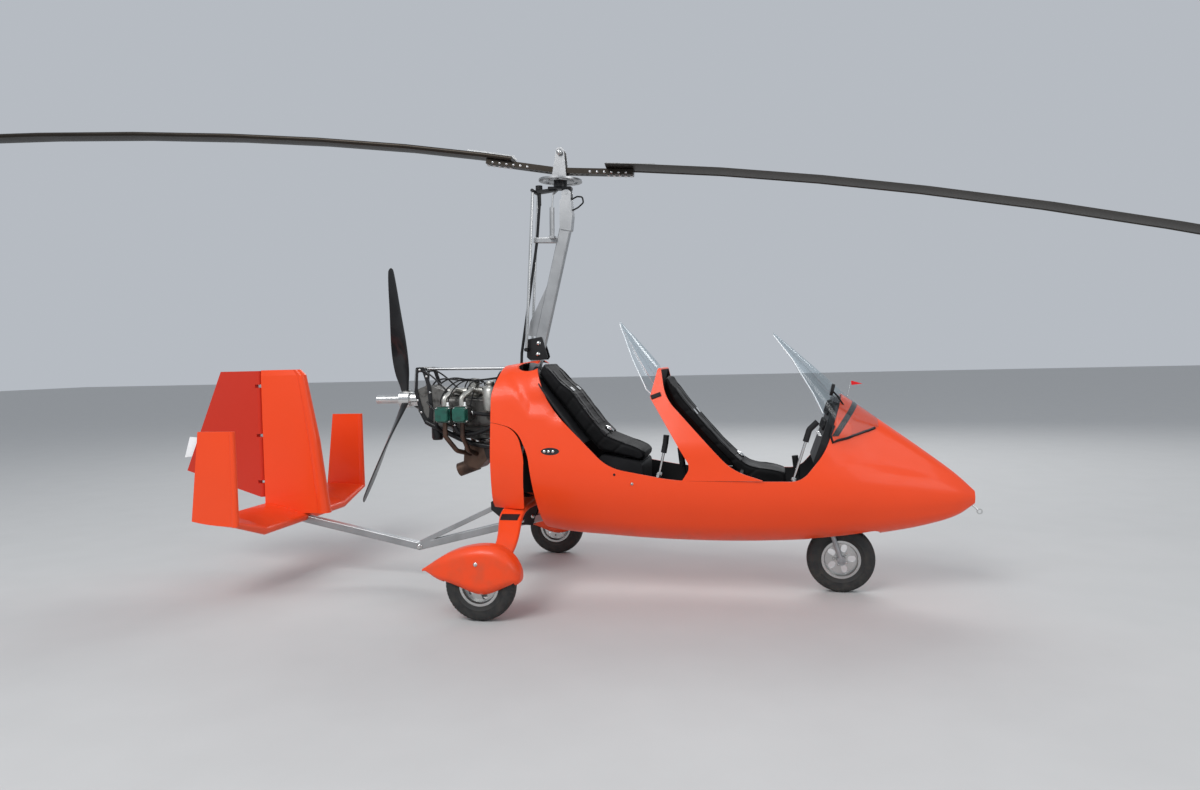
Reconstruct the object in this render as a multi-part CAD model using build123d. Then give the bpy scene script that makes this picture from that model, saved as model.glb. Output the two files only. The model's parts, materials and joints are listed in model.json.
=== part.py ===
from build123d import *
import os
from math import atan2, cos, degrees, hypot, pi, radians, sin, tan

# Tandem two-seat gyrocopter with a pusher engine, parked on its wheels.
# +X points forward, +Y to the left, +Z up. Millimetres.
# The origin is on the ground, close under the teeter bolt of the rotor.

# Running gear
MAIN_X = -330.0
TRACK_HALF = 820.0
NOSE_X = 1647.0
TYRE_R = 200.0
TYRE_W = 100.0
BEAD_R = 104.0
RIM_W = 84.0
RIM_WALL = 6.0
AXLE_R = 12.5
RUN_FIT = 0.05
HUB_R = 30.0
HUB_W = 92.0
AXLE_TIP = 8.0

# Pod shell
WALL = 10.0
CORNER_ROUND = 0.44
SEAM = 3.0
SILL_Z = 712.0
REACH_Y = 700.0

# Mast and keel
MAST_DEPTH = 72.0
MAST_WIDTH = 50.0
MAST_FOOT = (-446.0, 520.0)
MAST_TOP = (12.0, 2300.0)
KEEL_TUBE = 50.0
KEEL_BEND = (-1051.0, 216.0)
KEEL_TAIL = (-1990.0, 410.0)
KEEL_REAR_FOOT = (-420.0, 372.0)
KEEL_STEP = (-180.0, 428.0)
KEEL_FRONT = (1470.0, 376.0)

# Rotor
TEETER = (-18.0, 0.0, 2722.0)
SHAFT_TILT = 3.0
REST_TEETER = 4.4
REST_AZIMUTH = 4.0
BAR_DROP = 108.0
BAR_HALF = 470.0
BAR_W = 78.0
BAR_T = 34.0
ROTOR_R = 4200.0
BLADE_ROOT = 300.0
BLADE_CHORD = 200.0
BLADE_T = 24.0
CONE_SLOPE = 0.055
TIP_DROOP = 354.0
DROOP_START = 500.0
DROOP_POWER = 1.7
GEAR_R = 137.0
GEAR_T = 12.0
GEAR_DROP = 172.0
SHAFT_R = 22.0
TOWER_T = 9.0
TOWER_GAP = 86.0
BOLT_R = 8.0

# Propeller
PROP_X = -1115.0
PROP_Z = 1196.0
PROP_R = 864.0
PROP_REST = 48.6
PROP_BLADES = 3
PROP_HUB_R = 62.0
PROP_HUB_L = 70.0
TAIL_CONE_R = 30.0
TAIL_CONE_L = 172.0

# Tail
HINGE_X = -2205.0
RUDDER_REST = 11.0
FIN_GAP = 6.0
RUDDER_NOSE_R = 28.0
SKIN = 5.0


def side_face(*points, radius=0.0):
    """Closed outline in the XZ plane, with each corner rounded."""
    outline = FilletPolyline(*points, radius=radius, close=True)
    return Plane.XZ * make_face(outline)


def plain_side(*points):
    """Closed outline in the XZ plane with sharp corners."""
    return Plane.XZ * make_face(Polyline(*points, close=True))


def slab(face, half_width, y=0.0):
    """The outline given a width about the plane at y."""
    return Pos(0, y, 0) * extrude(face, amount=half_width, both=True)


def rod(start, end, radius, bore=0.0):
    """Round bar or tube from one point to the other."""
    a, b = Vector(*start), Vector(*end)
    plane = Plane(origin=a, z_dir=b - a)
    ring = Circle(radius)
    if bore:
        ring = ring - Circle(bore)
    return extrude(plane * ring, amount=(b - a).length)


def bar(start, end, width, depth, wall=0.0, side=(0, 1, 0)):
    """Rectangular tube: width lies along side, depth across it."""
    a, b = Vector(*start), Vector(*end)
    plane = Plane(origin=a, x_dir=side, z_dir=b - a)
    shape = RectangleRounded(width, depth, min(width, depth) * 0.14)
    if wall:
        shape = shape - Rectangle(width - 2 * wall, depth - 2 * wall)
    return extrude(plane * shape, amount=(b - a).length)


def corner_radii(points):
    """A radius for each corner, from its turn and its shorter side."""
    radii = []
    count = len(points)
    for i, here in enumerate(points):
        back, ahead = points[i - 1], points[(i + 1) % count]
        into = (here[0] - back[0], here[1] - back[1])
        out = (ahead[0] - here[0], ahead[1] - here[1])
        turn = abs(atan2(into[0] * out[1] - into[1] * out[0], into[0] * out[0] + into[1] * out[1]))
        run = CORNER_ROUND * min(hypot(*into), hypot(*out))
        radii.append(run / tan(turn / 2))
    return radii


# Pod sections, nose last: x, belly z, widest z, top z, belly half width,
# widest half width, top half width
POD_SECTIONS = [
    (-430.0, 495.0, 800.0, 1404.0, 215.0, 345.0, 262.0),
    (-150.0, 385.0, 700.0, 1428.0, 225.0, 362.0, 268.0),
    (300.0, 336.0, 650.0, 1440.0, 230.0, 368.0, 262.0),
    (900.0, 314.0, 630.0, 1420.0, 228.0, 368.0, 245.0),
    (1400.0, 325.0, 630.0, 1345.0, 205.0, 350.0, 195.0),
    (1665.0, 344.0, 636.0, 1186.0, 180.0, 318.0, 130.0),
    (1881.0, 369.0, 632.0, 1030.0, 148.0, 262.0, 92.0),
    (2131.0, 418.0, 620.0, 846.0, 100.0, 182.0, 62.0),
    (2310.0, 478.0, 600.0, 704.0, 52.0, 100.0, 36.0),
    (2400.0, 540.0, 580.0, 616.0, 16.0, 30.0, 12.0),
]


def pod_section(row, inset):
    x, low, mid, high, half_low, half_mid, half_high = row
    points = [
        (half_low - inset / 2, low + inset),
        (half_mid - inset, mid),
        (half_high - inset / 2, high - inset),
        (inset / 2 - half_high, high - inset),
        (inset - half_mid, mid),
        (inset / 2 - half_low, low + inset),
    ]
    outline = FilletPolyline(*points, radius=corner_radii(points), close=True)
    return Plane.YZ.offset(x) * make_face(outline)


def pod_solid(inset=0.0, rows=POD_SECTIONS):
    return loft([pod_section(row, inset) for row in rows])


POD = pod_solid()
POD_INSIDE = pod_solid(WALL, POD_SECTIONS[:-1])

# Side outline of the two cockpit openings, from behind the rear seat
# forward to the edge of the nose deck
COCKPIT_LINE = [
    (-215.0, 1520.0),
    (-61.0, 1150.0),
    (300.0, 786.0),
    (698.0, SILL_Z),
    (1418.0, SILL_Z - 5),
    (1559.0, 875.0),
    (1700.0, 1310.0),
    (1500.0, 1700.0),
    (0.0, 1700.0),
]
COCKPIT_ROUNDS = [5.0, 500.0, 300.0, 1300.0, 130.0, 400.0, 5.0, 5.0, 5.0]

# Lower rear quarter: the tub ends here and a separate panel stands behind
QUARTER_TOP = 1059.0
TUB_END = [
    (-113.0, 300.0),
    (-157.0, 593.0),
    (-190.0, 860.0),
    (-262.0, 1020.0),
    (-420.0, QUARTER_TOP),
    (-700.0, QUARTER_TOP + 2),
    (-700.0, 300.0),
]
TUB_END_ROUNDS = [5.0, 900.0, 260.0, 160.0, 300.0, 5.0, 5.0]

WELL_HALF_W = 165.0
WELL_HALF_L = 236.0


def body_shell():
    cockpit = slab(side_face(*COCKPIT_LINE, radius=COCKPIT_ROUNDS), REACH_Y)
    quarter = slab(side_face(*TUB_END, radius=TUB_END_ROUNDS), REACH_Y)
    shell = POD - POD_INSIDE - cockpit - quarter
    well = Pos(NOSE_X, 0, 340) * Box(2 * WELL_HALF_L, 2 * WELL_HALF_W, 160)
    mast_slot = Pos(-244, 0, 1360) * extrude(RectangleRounded(206, MAST_WIDTH + 60, 50), amount=120)
    keel_way = Pos(-150, 0, KEEL_STEP[1] - 10) * Box(160, KEEL_TUBE + 24, KEEL_TUBE + 40)
    shell = shell - well - mast_slot - keel_way
    for side in (1, -1):
        shell -= lamp_prism(side, 0.3)
    return shell


LAMP = (-49.0, 883.0)
LAMP_LONG = 57.0
LAMP_HIGH = 22.0
LAMP_INSET = 3.0


def lamp_prism(side, gap):
    """Oval through the pod's side where a lamp sits."""
    oval = Plane.XZ.offset(-side * 300) * Pos(*LAMP) * Ellipse(LAMP_LONG + gap, LAMP_HIGH + gap)
    return extrude(oval, amount=-side * 120)


def side_lamps():
    """Lamp bodies set a little below the skin."""
    filled = pod_solid(LAMP_INSET) - POD_INSIDE
    return [one(filled & lamp_prism(side, 0)) for side in (1, -1)]


def mast_x(z):
    """Where the mast's centre line lies at a height."""
    share = (z - MAST_FOOT[1]) / (MAST_TOP[1] - MAST_FOOT[1])
    return MAST_FOOT[0] + share * (MAST_TOP[0] - MAST_FOOT[0])


def quarter_panels():
    outline = side_face(
        (-225.0, 496.0),
        (-216.0, 840.0),
        (-262.0, 1020.0 - SEAM),
        (-418.0, QUARTER_TOP - SEAM),
        (-445.0, QUARTER_TOP - SEAM),
        (-445.0, 498.0),
        radius=[14.0, 300.0, 150.0, 200.0, 4.0, 30.0],
    )
    skin = POD - POD_INSIDE
    panels = skin & slab(outline, REACH_Y)
    panels -= Pos(0, 0, 460) * Box(2000, 2 * 300.0, 200)
    return sorted(panels.solids(), key=lambda s: -s.center().Y)[:2]


# Seat fairing between the cockpits, side outline
FAIRING_LINE = [
    (1212.0, SILL_Z + 0.3),
    (1030.0, 772.0),
    (640.0, 1190.0),
    (602.0, 1405.0),
    (548.0, 1196.0),
    (793.0, 790.0),
    (742.0, SILL_Z + 0.3),
]
FAIRING_ROUNDS = [2.0, 330.0, 260.0, 10.0, 30.0, 60.0, 2.0]
FAIRING_HALF_LOW = 356.0
FAIRING_HALF_TOP = 168.0


def fairing_front_shape(inset):
    """The fairing seen from ahead: sides lean in to a round top."""
    points = [
        (FAIRING_HALF_LOW - inset, SILL_Z - 100),
        (FAIRING_HALF_LOW - inset - 10, 900.0),
        (FAIRING_HALF_TOP - inset, 1425.0 - inset),
        (inset - FAIRING_HALF_TOP, 1425.0 - inset),
        (inset - FAIRING_HALF_LOW + 10, 900.0),
        (inset - FAIRING_HALF_LOW, SILL_Z - 100),
    ]
    outline = FilletPolyline(*points, radius=[1, 260, 90, 90, 260, 1], close=True)
    return Pos(400, 0, 0) * extrude(Plane.YZ * make_face(outline), amount=1000)


def seat_fairing():
    body = slab(side_face(*FAIRING_LINE, radius=FAIRING_ROUNDS), REACH_Y)
    body &= fairing_front_shape(0)
    hollow = Pos(WALL * 1.6, 0, -WALL * 0.8) * slab(
        side_face(*FAIRING_LINE, radius=FAIRING_ROUNDS), REACH_Y
    )
    pocket = Pos(1, 0, 0) * fairing_front_shape(WALL)
    reach = Pos(300, 0, 0) * hollow
    return body - ((hollow + reach) & pocket)


def glass_arch(x, top, edge, half, thick):
    """Thin arch of clear sheet in the YZ plane at x."""
    outer = ThreePointArc((-half, edge), (0, top), (half, edge))
    inner = ThreePointArc((half - thick, edge), (0, top - thick), (thick - half, edge))
    right = Line((half, edge), (half - thick, edge))
    left = Line((thick - half, edge), (-half, edge))
    return Plane.YZ.offset(x) * make_face([outer, right, inner, left])


# Windscreen arches: x, crown z, lower edge z, half width
FRONT_GLASS = [
    (1272.0, 1566.0, 1548.0, 22.0),
    (1380.0, 1470.0, 1400.0, 95.0),
    (1500.0, 1362.0, 1190.0, 190.0),
    (1612.0, 1256.0, 935.0, 292.0),
    (1700.0, 1170.0, 960.0, 262.0),
    (1860.0, 1052.0, 1000.0, 120.0),
]
REAR_GLASS = [
    (336.0, 1662.0, 1644.0, 20.0),
    (430.0, 1560.0, 1420.0, 120.0),
    (520.0, 1455.0, 1240.0, 188.0),
    (572.0, 1392.0, 1190.0, 205.0),
]
GLASS_T = 4.0


def windscreen(rows):
    arches = [glass_arch(*row, GLASS_T) for row in rows]
    return loft(arches, ruled=True)


def wheel_tyre():
    """Tyre about the Y axis through the origin."""
    w = TYRE_W / 2
    profile = FilletPolyline(
        (BEAD_R, 5.3 - RIM_W / 2),
        (BEAD_R + 14, 5.3 - RIM_W / 2),
        (BEAD_R + 50, -w),
        (TYRE_R, -w * 0.72),
        (TYRE_R, w * 0.72),
        (BEAD_R + 50, w),
        (BEAD_R + 14, RIM_W / 2 - 5.3),
        (BEAD_R, RIM_W / 2 - 5.3),
        radius=[3, 8, 34, 26, 26, 34, 8, 3],
        close=True,
    )
    return revolve(Plane.XY * make_face(profile), Axis.Y)


DISC_R = 84.0
DISC_T = 4.0


def wheel_rim(spokes, disc_side=0):
    """Cast rim, bored hub and spokes about Y, with a brake disc if wanted."""
    w = RIM_W / 2
    barrel_line = [
        (BEAD_R + 10, -w),
        (BEAD_R + 10, -w + 5),
        (BEAD_R - 0.3, -w + 5),
        (BEAD_R - 0.3, w - 5),
        (BEAD_R + 10, w - 5),
        (BEAD_R + 10, w),
        (BEAD_R - 4, w),
        (BEAD_R - RIM_WALL - 4, w - 14),
        (BEAD_R - RIM_WALL - 4, 14 - w),
        (BEAD_R - 4, -w),
    ]
    barrel = revolve(Plane.XY * make_face(Polyline(*barrel_line, close=True)), Axis.Y)
    hub = rod((0, -HUB_W / 2, 0), (0, HUB_W / 2, 0), HUB_R)
    disc_r = BEAD_R - RIM_WALL - 3
    web = rod((0, -8, 0), (0, 8, 0), disc_r)
    middle = (disc_r + HUB_R) / 2
    for i in range(spokes):
        window = Rot(0, 360.0 / spokes * i, 0) * Pos(middle + 2, 0, 0) * Rot(90, 0, 0)
        web -= window * extrude(SlotOverall(47, 34), amount=20, both=True)
    rim = barrel + web + hub
    if disc_side:
        y = disc_side * (HUB_W / 2 - DISC_T)
        disc = rod((0, y, 0), (0, y + disc_side * DISC_T, 0), DISC_R)
        for i in range(8):
            hole = Rot(0, 45.0 * i, 0) * Pos(62, 0, 0) * Rot(90, 0, 0) * Cylinder(8, 4 * HUB_W)
            disc -= hole
        rim += disc
    return rim - rod((0, -HUB_W, 0), (0, HUB_W, 0), AXLE_R + RUN_FIT)


def place_wheel(solid, x, y):
    return Pos(x, y, TYRE_R) * solid


def main_gear_bow():
    """One leaf from wheel to wheel, with a stub axle at each end."""
    # Stations: y, x, z, chord, thickness
    stations = [
        (0.0, -298.0, 524.0, 150.0, 34.0),
        (250.0, -298.0, 520.0, 148.0, 34.0),
        (352.0, -296.0, 492.0, 146.0, 32.0),
        (690.0, -262.0, 318.0, 118.0, 28.0),
        (742.0, -285.0, 262.0, 112.0, 26.0),
        (745.0, -320.0, 185.0, 100.0, 26.0),
    ]
    bow = None
    for side in (1, -1):
        faces = []
        for i, (y, x, z, chord, thick) in enumerate(stations):
            before = stations[max(i - 1, 0)]
            after = stations[min(i + 1, len(stations) - 1)]
            run = Vector(0, side * (after[0] - before[0]), after[2] - before[2])
            if i == 0:
                run = Vector(0, side, 0)
            plane = Plane(origin=(x, side * y, z), x_dir=(1, 0, 0), z_dir=run)
            faces.append(plane * RectangleRounded(chord, thick, thick * 0.42))
        half = loft(faces)
        stub = rod(
            (MAIN_X, side * 740.0, TYRE_R),
            (MAIN_X, side * (TRACK_HALF + HUB_W / 2 + AXLE_TIP), TYRE_R),
            AXLE_R,
        )
        collar = rod(
            (MAIN_X, side * 735.0, TYRE_R),
            (MAIN_X, side * (TRACK_HALF - HUB_W / 2 - 0.3), TYRE_R),
            AXLE_R + 9,
        )
        half = half + stub + collar
        bow = half if bow is None else bow + half
    return bow


# Wheel fairing rows: x, low z, high z, half width
FAIRING_ROWS = [
    (-676.0, 262.0, 276.0, 8.0),
    (-590.0, 234.0, 330.0, 52.0),
    (-500.0, 206.0, 380.0, 76.0),
    (-400.0, 172.0, 412.0, 84.0),
    (-300.0, 150.0, 424.0, 86.0),
    (-200.0, 180.0, 404.0, 82.0),
    (-126.0, 206.0, 340.0, 66.0),
    (-94.0, 232.0, 282.0, 28.0),
]
TYRE_ROOM = 8.0


def wheel_fairing(side):
    def section(row, inset):
        x, low, high, half = row
        w, h = 2 * (half - inset), high - low - 2 * inset
        shape = RectangleRounded(w, h, min(w, h) * 0.34)
        return Plane.YZ.offset(x) * Pos(0, (low + high) / 2) * shape

    outer = loft([section(row, 0) for row in FAIRING_ROWS])
    half, reach = TYRE_W / 2 + TYRE_ROOM, TYRE_R + TYRE_ROOM
    room = rod((MAIN_X, -half, TYRE_R), (MAIN_X, half, TYRE_R), reach)
    below = Pos(MAIN_X, 0, TYRE_R / 2) * Box(2 * reach, 2 * half, TYRE_R)
    shell = outer - room - below
    solids = sorted(shell.solids(), key=lambda s: -s.volume)
    return Pos(0, side * TRACK_HALF, 0) * solids[0]


# Nose leg: steering axis through the wheel centre, leaning back
RAKE = 17.7
LEG_UP = 250.0
FORK_HALF = 70.0
LEG_R = 14.0
STEER_R = 20.0
STEER_UP = 120.0


def steer_point(up):
    lean = radians(RAKE)
    return (NOSE_X - up * sin(lean), 0.0, TYRE_R + up * cos(lean))


def nose_fork():
    fork = None
    for side in (1, -1):
        top = steer_point(LEG_UP)
        leg = rod((NOSE_X, side * FORK_HALF, TYRE_R), (top[0], side * FORK_HALF, top[2]), LEG_R)
        lug = rod((NOSE_X, side * (FORK_HALF - 12), TYRE_R), (NOSE_X, side * (FORK_HALF + 12), TYRE_R), 26)
        fork = leg + lug if fork is None else fork + leg + lug
    crown_plane = Plane(origin=steer_point(LEG_UP - 10), x_dir=(0, 1, 0), z_dir=steer_vector())
    crown = extrude(crown_plane * RectangleRounded(2 * FORK_HALF + 40, 52, 18), amount=30)
    stem = rod(steer_point(LEG_UP + 10), steer_point(LEG_UP + 20 + STEER_UP), STEER_R)
    axle = rod((NOSE_X, -FORK_HALF - 18, TYRE_R), (NOSE_X, FORK_HALF + 18, TYRE_R), AXLE_R)
    return fork + crown + stem + axle


def steer_vector():
    lean = radians(RAKE)
    return Vector(-sin(lean), 0, cos(lean))


def nose_mount():
    """Steering head tube and its bracket on the front end of the keel."""
    low, high = LEG_UP + 20.5, LEG_UP + 20 + STEER_UP - 12
    head = rod(steer_point(low), steer_point(high), STEER_R + 9, STEER_R + RUN_FIT)
    bracket = None
    for side in (1, -1):
        plate = slab(
            plain_side((1380, 372), (1470, 372), (1530, 470), (1505, 540), (1470, 530)),
            4,
            side * (KEEL_TUBE / 2 + 4.3),
        )
        bracket = plate if bracket is None else bracket + plate
    tie = Pos(1500, 0, 505) * Box(30, 2 * (KEEL_TUBE / 2 + 8.3), 26)
    bore = rod(steer_point(low - 40), steer_point(high + 40), STEER_R + RUN_FIT)
    return head + (bracket + tie - bore)


def keel_beam():
    """Square tube from the tail, down to the bend and up under the seats."""
    tail = (KEEL_TAIL[0], 0, KEEL_TAIL[1])
    bend = (KEEL_BEND[0], 0, KEEL_BEND[1])
    front = (KEEL_REAR_FOOT[0], 0, KEEL_REAR_FOOT[1])
    step = (KEEL_STEP[0], 0, KEEL_STEP[1])
    end = (KEEL_FRONT[0], 0, KEEL_FRONT[1])
    rear_run = bar(tail, bend, KEEL_TUBE, KEEL_TUBE, 3)
    front_run = bar(bend, front, KEEL_TUBE, KEEL_TUBE, 3)
    knee = rod((bend[0], -KEEL_TUBE / 2, bend[2]), (bend[0], KEEL_TUBE / 2, bend[2]), KEEL_TUBE / 2)
    pod_run = bar(front, step, KEEL_TUBE, KEEL_TUBE, 3)
    floor_run = bar(step, end, KEEL_TUBE, KEEL_TUBE, 3)
    return rear_run + knee + front_run + pod_run + floor_run


def keel_envelope():
    """Space that the rear run of the keel takes up, for its seat in the tail."""
    tail = (KEEL_TAIL[0] - 2, 0, KEEL_TAIL[1] + 0.5)
    return bar(tail, (KEEL_BEND[0], 0, KEEL_BEND[1]), KEEL_TUBE, KEEL_TUBE)


def keel_filled():
    """The keel's outline without its bore, for seats against it."""
    knee = (KEEL_BEND[0], 0, KEEL_BEND[1])
    tail = (KEEL_TAIL[0], 0, KEEL_TAIL[1])
    foot = (KEEL_REAR_FOOT[0], 0, KEEL_REAR_FOOT[1])
    collar = rod((knee[0], -KEEL_TUBE / 2, knee[2]), (knee[0], KEEL_TUBE / 2, knee[2]), KEEL_TUBE / 2)
    return bar(tail, knee, KEEL_TUBE, KEEL_TUBE) + bar(knee, foot, KEEL_TUBE, KEEL_TUBE) + collar


def keel_strut():
    return bar((KEEL_BEND[0] + 10, 0, KEEL_BEND[1] + 24), (-470.0, 0, 505.0), KEEL_TUBE, 32, 3)


def mast_block(low_z, high_z, gap):
    """The mast's outline over a stretch, grown by a gap on each face."""
    low, high = (mast_x(low_z), 0, low_z), (mast_x(high_z), 0, high_z)
    return bar(low, high, MAST_WIDTH + 2 * gap, MAST_DEPTH + 2 * gap)


def mast():
    """Rectangular tube with a gusset plate behind its lower end."""
    foot = (MAST_FOOT[0], 0, MAST_FOOT[1])
    top = (MAST_TOP[0], 0, MAST_TOP[1])
    tube = bar(foot, top, MAST_WIDTH, MAST_DEPTH, 4)
    web = slab(plain_side((-130, 1900), (-247, 1676), (-262, 1590), (-190, 1580), (-150, 1750)), 14)
    return tube + one(web - mast_block(1400, 2000, -1))


def mast_brackets():
    """Two black plates that clamp the mast's foot, with bolt holes."""
    line = side_face(
        (-262, 1566), (-168, 1580), (-132, 1452), (-144, 1434), (-250, 1434), (-270, 1452), radius=8
    )
    x, z = ROD_SHAFT
    shaft_way = rod((x, -60, z), (x, 60, z), 12.3)
    plates = []
    for side in (1, -1):
        plate = slab(line, 3, side * (MAST_WIDTH / 2 + 3.3)) - shaft_way
        for px, pz in ((-190, 1540), (-196, 1470)):
            plate -= rod((px, -60, pz), (px, 60, pz), 7)
        plates.append(plate)
    return plates


def frame_plates():
    plates = None
    for side in (1, -1):
        plate = slab(
            plain_side((-540, 520), (-540, 470), (-430, 380), (-260, 372), (-215, 540), (-400, 600)),
            3,
            side * (MAST_WIDTH / 2 + 3.3),
        )
        plates = plate if plates is None else plates + plate
    return plates


PIVOT = (14.0, 2474.0)
PIVOT_R = 9.0
YOKE_HALF = 24.0
BEAM = (-192.0, 2494.0)
ROD_SHAFT = (-262.0, 1500.0)


def mast_head():
    """Cast head on top of the mast, with two ears and the pivot pin."""
    outline = side_face(
        (-32.0, 2252.0),
        (40.0, 2236.0),
        (52.0, 2330.0),
        (44.0, 2436.0),
        (-26.0, 2436.0),
        (-30.0, 2340.0),
        radius=8,
    )
    socket = bar(
        (mast_x(2100), 0, 2100), (MAST_TOP[0], 0, MAST_TOP[1] + 0.3), MAST_WIDTH + 0.6, MAST_DEPTH + 0.6
    )
    head = slab(outline, 33) - socket
    ear_line = side_face(
        (-16.0, 2420.0), (44.0, 2420.0), (44.0, 2494.0), (-16.0, 2494.0), radius=[2, 2, 24, 24]
    )
    for side in (1, -1):
        head += slab(ear_line, 4.5, side * (YOKE_HALF + 4.5))
    pin = rod((PIVOT[0], -YOKE_HALF - 12, PIVOT[1]), (PIVOT[0], YOKE_HALF + 12, PIVOT[1]), PIVOT_R)
    return head + pin


def along_shaft(down, out=0.0):
    """A point on the rotor shaft, a distance below the teeter bolt."""
    tilt = radians(SHAFT_TILT)
    return (TEETER[0] - down * sin(tilt), out, TEETER[2] - down * cos(tilt))


def shaft_plane(down):
    tilt = radians(SHAFT_TILT)
    return Plane(origin=along_shaft(down), x_dir=(cos(tilt), 0, -sin(tilt)), z_dir=(sin(tilt), 0, cos(tilt)))


def rotor_plane(down):
    """Plane across the shaft, turned with the parked rotor."""
    base, turn = shaft_plane(down), radians(REST_AZIMUTH)
    ahead = base.x_dir * cos(turn) + base.y_dir * sin(turn)
    return Plane(origin=base.origin, x_dir=ahead, z_dir=base.z_dir)


def gimbal_head():
    """Fixed part of the rotor head: pivot block, bearing and rod beam."""
    block = Pos(PIVOT[0], 0, PIVOT[1] + 3) * Box(56, 2 * YOKE_HALF - 0.6, 62)
    base = extrude(shaft_plane(222) * RectangleRounded(150, 62, 8), amount=16)
    bearing = extrude(shaft_plane(208) * Circle(42), amount=208 - GEAR_DROP - 1)
    arm_line = side_face(
        (-50, 2512), (-50, 2494), (-150, 2484), (-200, 2484), (-206, 2504), (-150, 2507), radius=4
    )
    arm = slab(arm_line, 17)
    beam = rod((BEAM[0], -78, BEAM[1]), (BEAM[0], 78, BEAM[1]), 11)
    shaft_way = extrude(shaft_plane(214) * Circle(SHAFT_R + RUN_FIT), amount=60)
    pin_way = rod((PIVOT[0], -60, PIVOT[1]), (PIVOT[0], 60, PIVOT[1]), PIVOT_R + RUN_FIT)
    return block + base + bearing + arm + beam - shaft_way - pin_way


# Sleeved drive of the rotor's spin-up gear (x, z), down into the cowl
DRIVE_LINE = ((-168.0, 2412.0), (-191.0, 2182.0), (-312.0, 1480.0), (-318.0, 1372.0))
DRIVE_R = 9.0


def prerotator():
    """Pinion housing on the arm and its sleeved drive, down into the cowl."""
    housing = rod((-168, 0, 2507.4), (-168, 0, 2534), 22)
    stub = rod((-168, 0, 2483.6), (-168, 0, 2410), 12)
    return [housing, stub + drive_sleeve(DRIVE_R)]


def drive_sleeve(radius):
    """The drive's sleeve along its bent line, at a given radius."""
    sleeve = None
    for (ax, az), (bx, bz) in zip(DRIVE_LINE, DRIVE_LINE[1:]):
        run = rod((ax, 0, az), (bx, 0, bz), radius) + Pos(bx, 0, bz) * Sphere(radius)
        sleeve = run if sleeve is None else sleeve + run
    return sleeve


def rotor_tower():
    """Spinning hub: shaft, ring gear and the two cheeks of the tower."""
    plane = rotor_plane(GEAR_DROP)
    gear = extrude(plane * Circle(GEAR_R), amount=GEAR_T)
    for i in range(8):
        slot = Rot(0, 0, 22.5 + 45.0 * i) * Pos(GEAR_R * 0.68, 0, 0) * Rectangle(34, 62)
        gear -= extrude(plane * slot, amount=GEAR_T)
    boss = extrude(plane * Circle(64), amount=GEAR_T + 10)
    shaft = extrude(rotor_plane(213) * Circle(SHAFT_R), amount=213 - GEAR_DROP)
    tower = None
    cheek_line = Plane.XZ * make_face(
        Polyline((-46, 0), (46, 0), (24, 168), (14, 182), (-14, 182), (-24, 168), close=True)
    )
    for side in (1, -1):
        y = side * (TOWER_GAP / 2 + TOWER_T / 2)
        cheek = Pos(0, y, 0) * extrude(cheek_line, amount=TOWER_T / 2, both=True)
        tower = cheek if tower is None else tower + cheek
    tower = plane.location * Pos(0, 0, GEAR_T + 9) * tower
    pin = extrude(teeter_plane() * Circle(BOLT_R), amount=TOWER_GAP / 2 + TOWER_T + 9, both=True)
    return gear + boss + shaft + tower + pin


def teeter_plane():
    """Plane whose normal is the teeter bolt's axis."""
    turn = radians(REST_AZIMUTH)
    base = shaft_plane(0)
    x, y, z = base.x_dir, base.y_dir, base.z_dir
    axis = y * cos(turn) - x * sin(turn)
    return Plane(origin=TEETER, x_dir=z, z_dir=axis)


def bar_frame():
    """Location of the hub bar: X along the front blade, Z up."""
    plane = rotor_plane(0)
    return plane.location * Rot(0, REST_TEETER, 0)


def blade_z(r):
    """Height of the blade's middle above the bar's centre at radius r."""
    free = max(r - DROOP_START, 0.0) / (ROTOR_R - DROOP_START)
    return r * CONE_SLOPE - TIP_DROOP * free**DROOP_POWER


def hub_bar():
    """Bar with a block up to the teeter bolt; each half slopes up."""
    cone = degrees(atan2(CONE_SLOPE, 1))
    solid = None
    for side in (1, -1):
        half = Pos(side * (BAR_HALF / 2 - 10), 0, 0) * Box(BAR_HALF + 20, BAR_W, BAR_T)
        for k in range(4):
            half -= Pos(side * (78 + 34 * k), 0, 0) * Cylinder(11, BAR_T + 2)
        half = Rot(0, -side * cone, 0) * half
        solid = half if solid is None else solid + half
    solid = Pos(0, 0, -BAR_DROP) * solid
    block = Pos(0, 0, -BAR_DROP / 2 + 8) * Box(46, TOWER_GAP - 2, BAR_DROP + 16)
    block -= Rot(90, 0, 0) * Cylinder(BOLT_R + RUN_FIT, TOWER_GAP + 4)
    return bar_frame() * (solid + block)


def airfoil_face(chord, thick, nose=0.12, tail=1.6):
    """Blade or fin section: round nose, curved sides, thin tail.

    Local x runs from the nose to the tail, local y is thickness.
    """
    t = thick / 2
    n = chord * nose
    front = ThreePointArc((n, t * 0.8), (0, 0), (n, -t * 0.8))
    under = ThreePointArc((n, -t * 0.8), (chord * 0.42, -t * 0.96), (chord, -tail / 2))
    end = Line((chord, -tail / 2), (chord, tail / 2))
    over = ThreePointArc((chord, tail / 2), (chord * 0.42, t * 0.96), (n, t * 0.8))
    return make_face([front, under, end, over])


def rotor_blade(side):
    """One blade: straight chord, drooping under its own weight."""
    place = bar_frame()
    stations = [BLADE_ROOT, DROOP_START, 1000.0, 1600.0, 2200.0, 2900.0, 3600.0, ROTOR_R]
    faces = []
    for r in stations:
        z = -BAR_DROP + BAR_T / 2 + BLADE_T / 2 + 0.4 + blade_z(r)
        nose_y = side * BLADE_CHORD * 0.35
        plane = Plane(
            origin=(side * r, nose_y, z), x_dir=(0, -side, 0), z_dir=(side, 0, 0)
        )
        faces.append(plane * airfoil_face(BLADE_CHORD, BLADE_T))
    return place * loft(faces, ruled=True)


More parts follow.
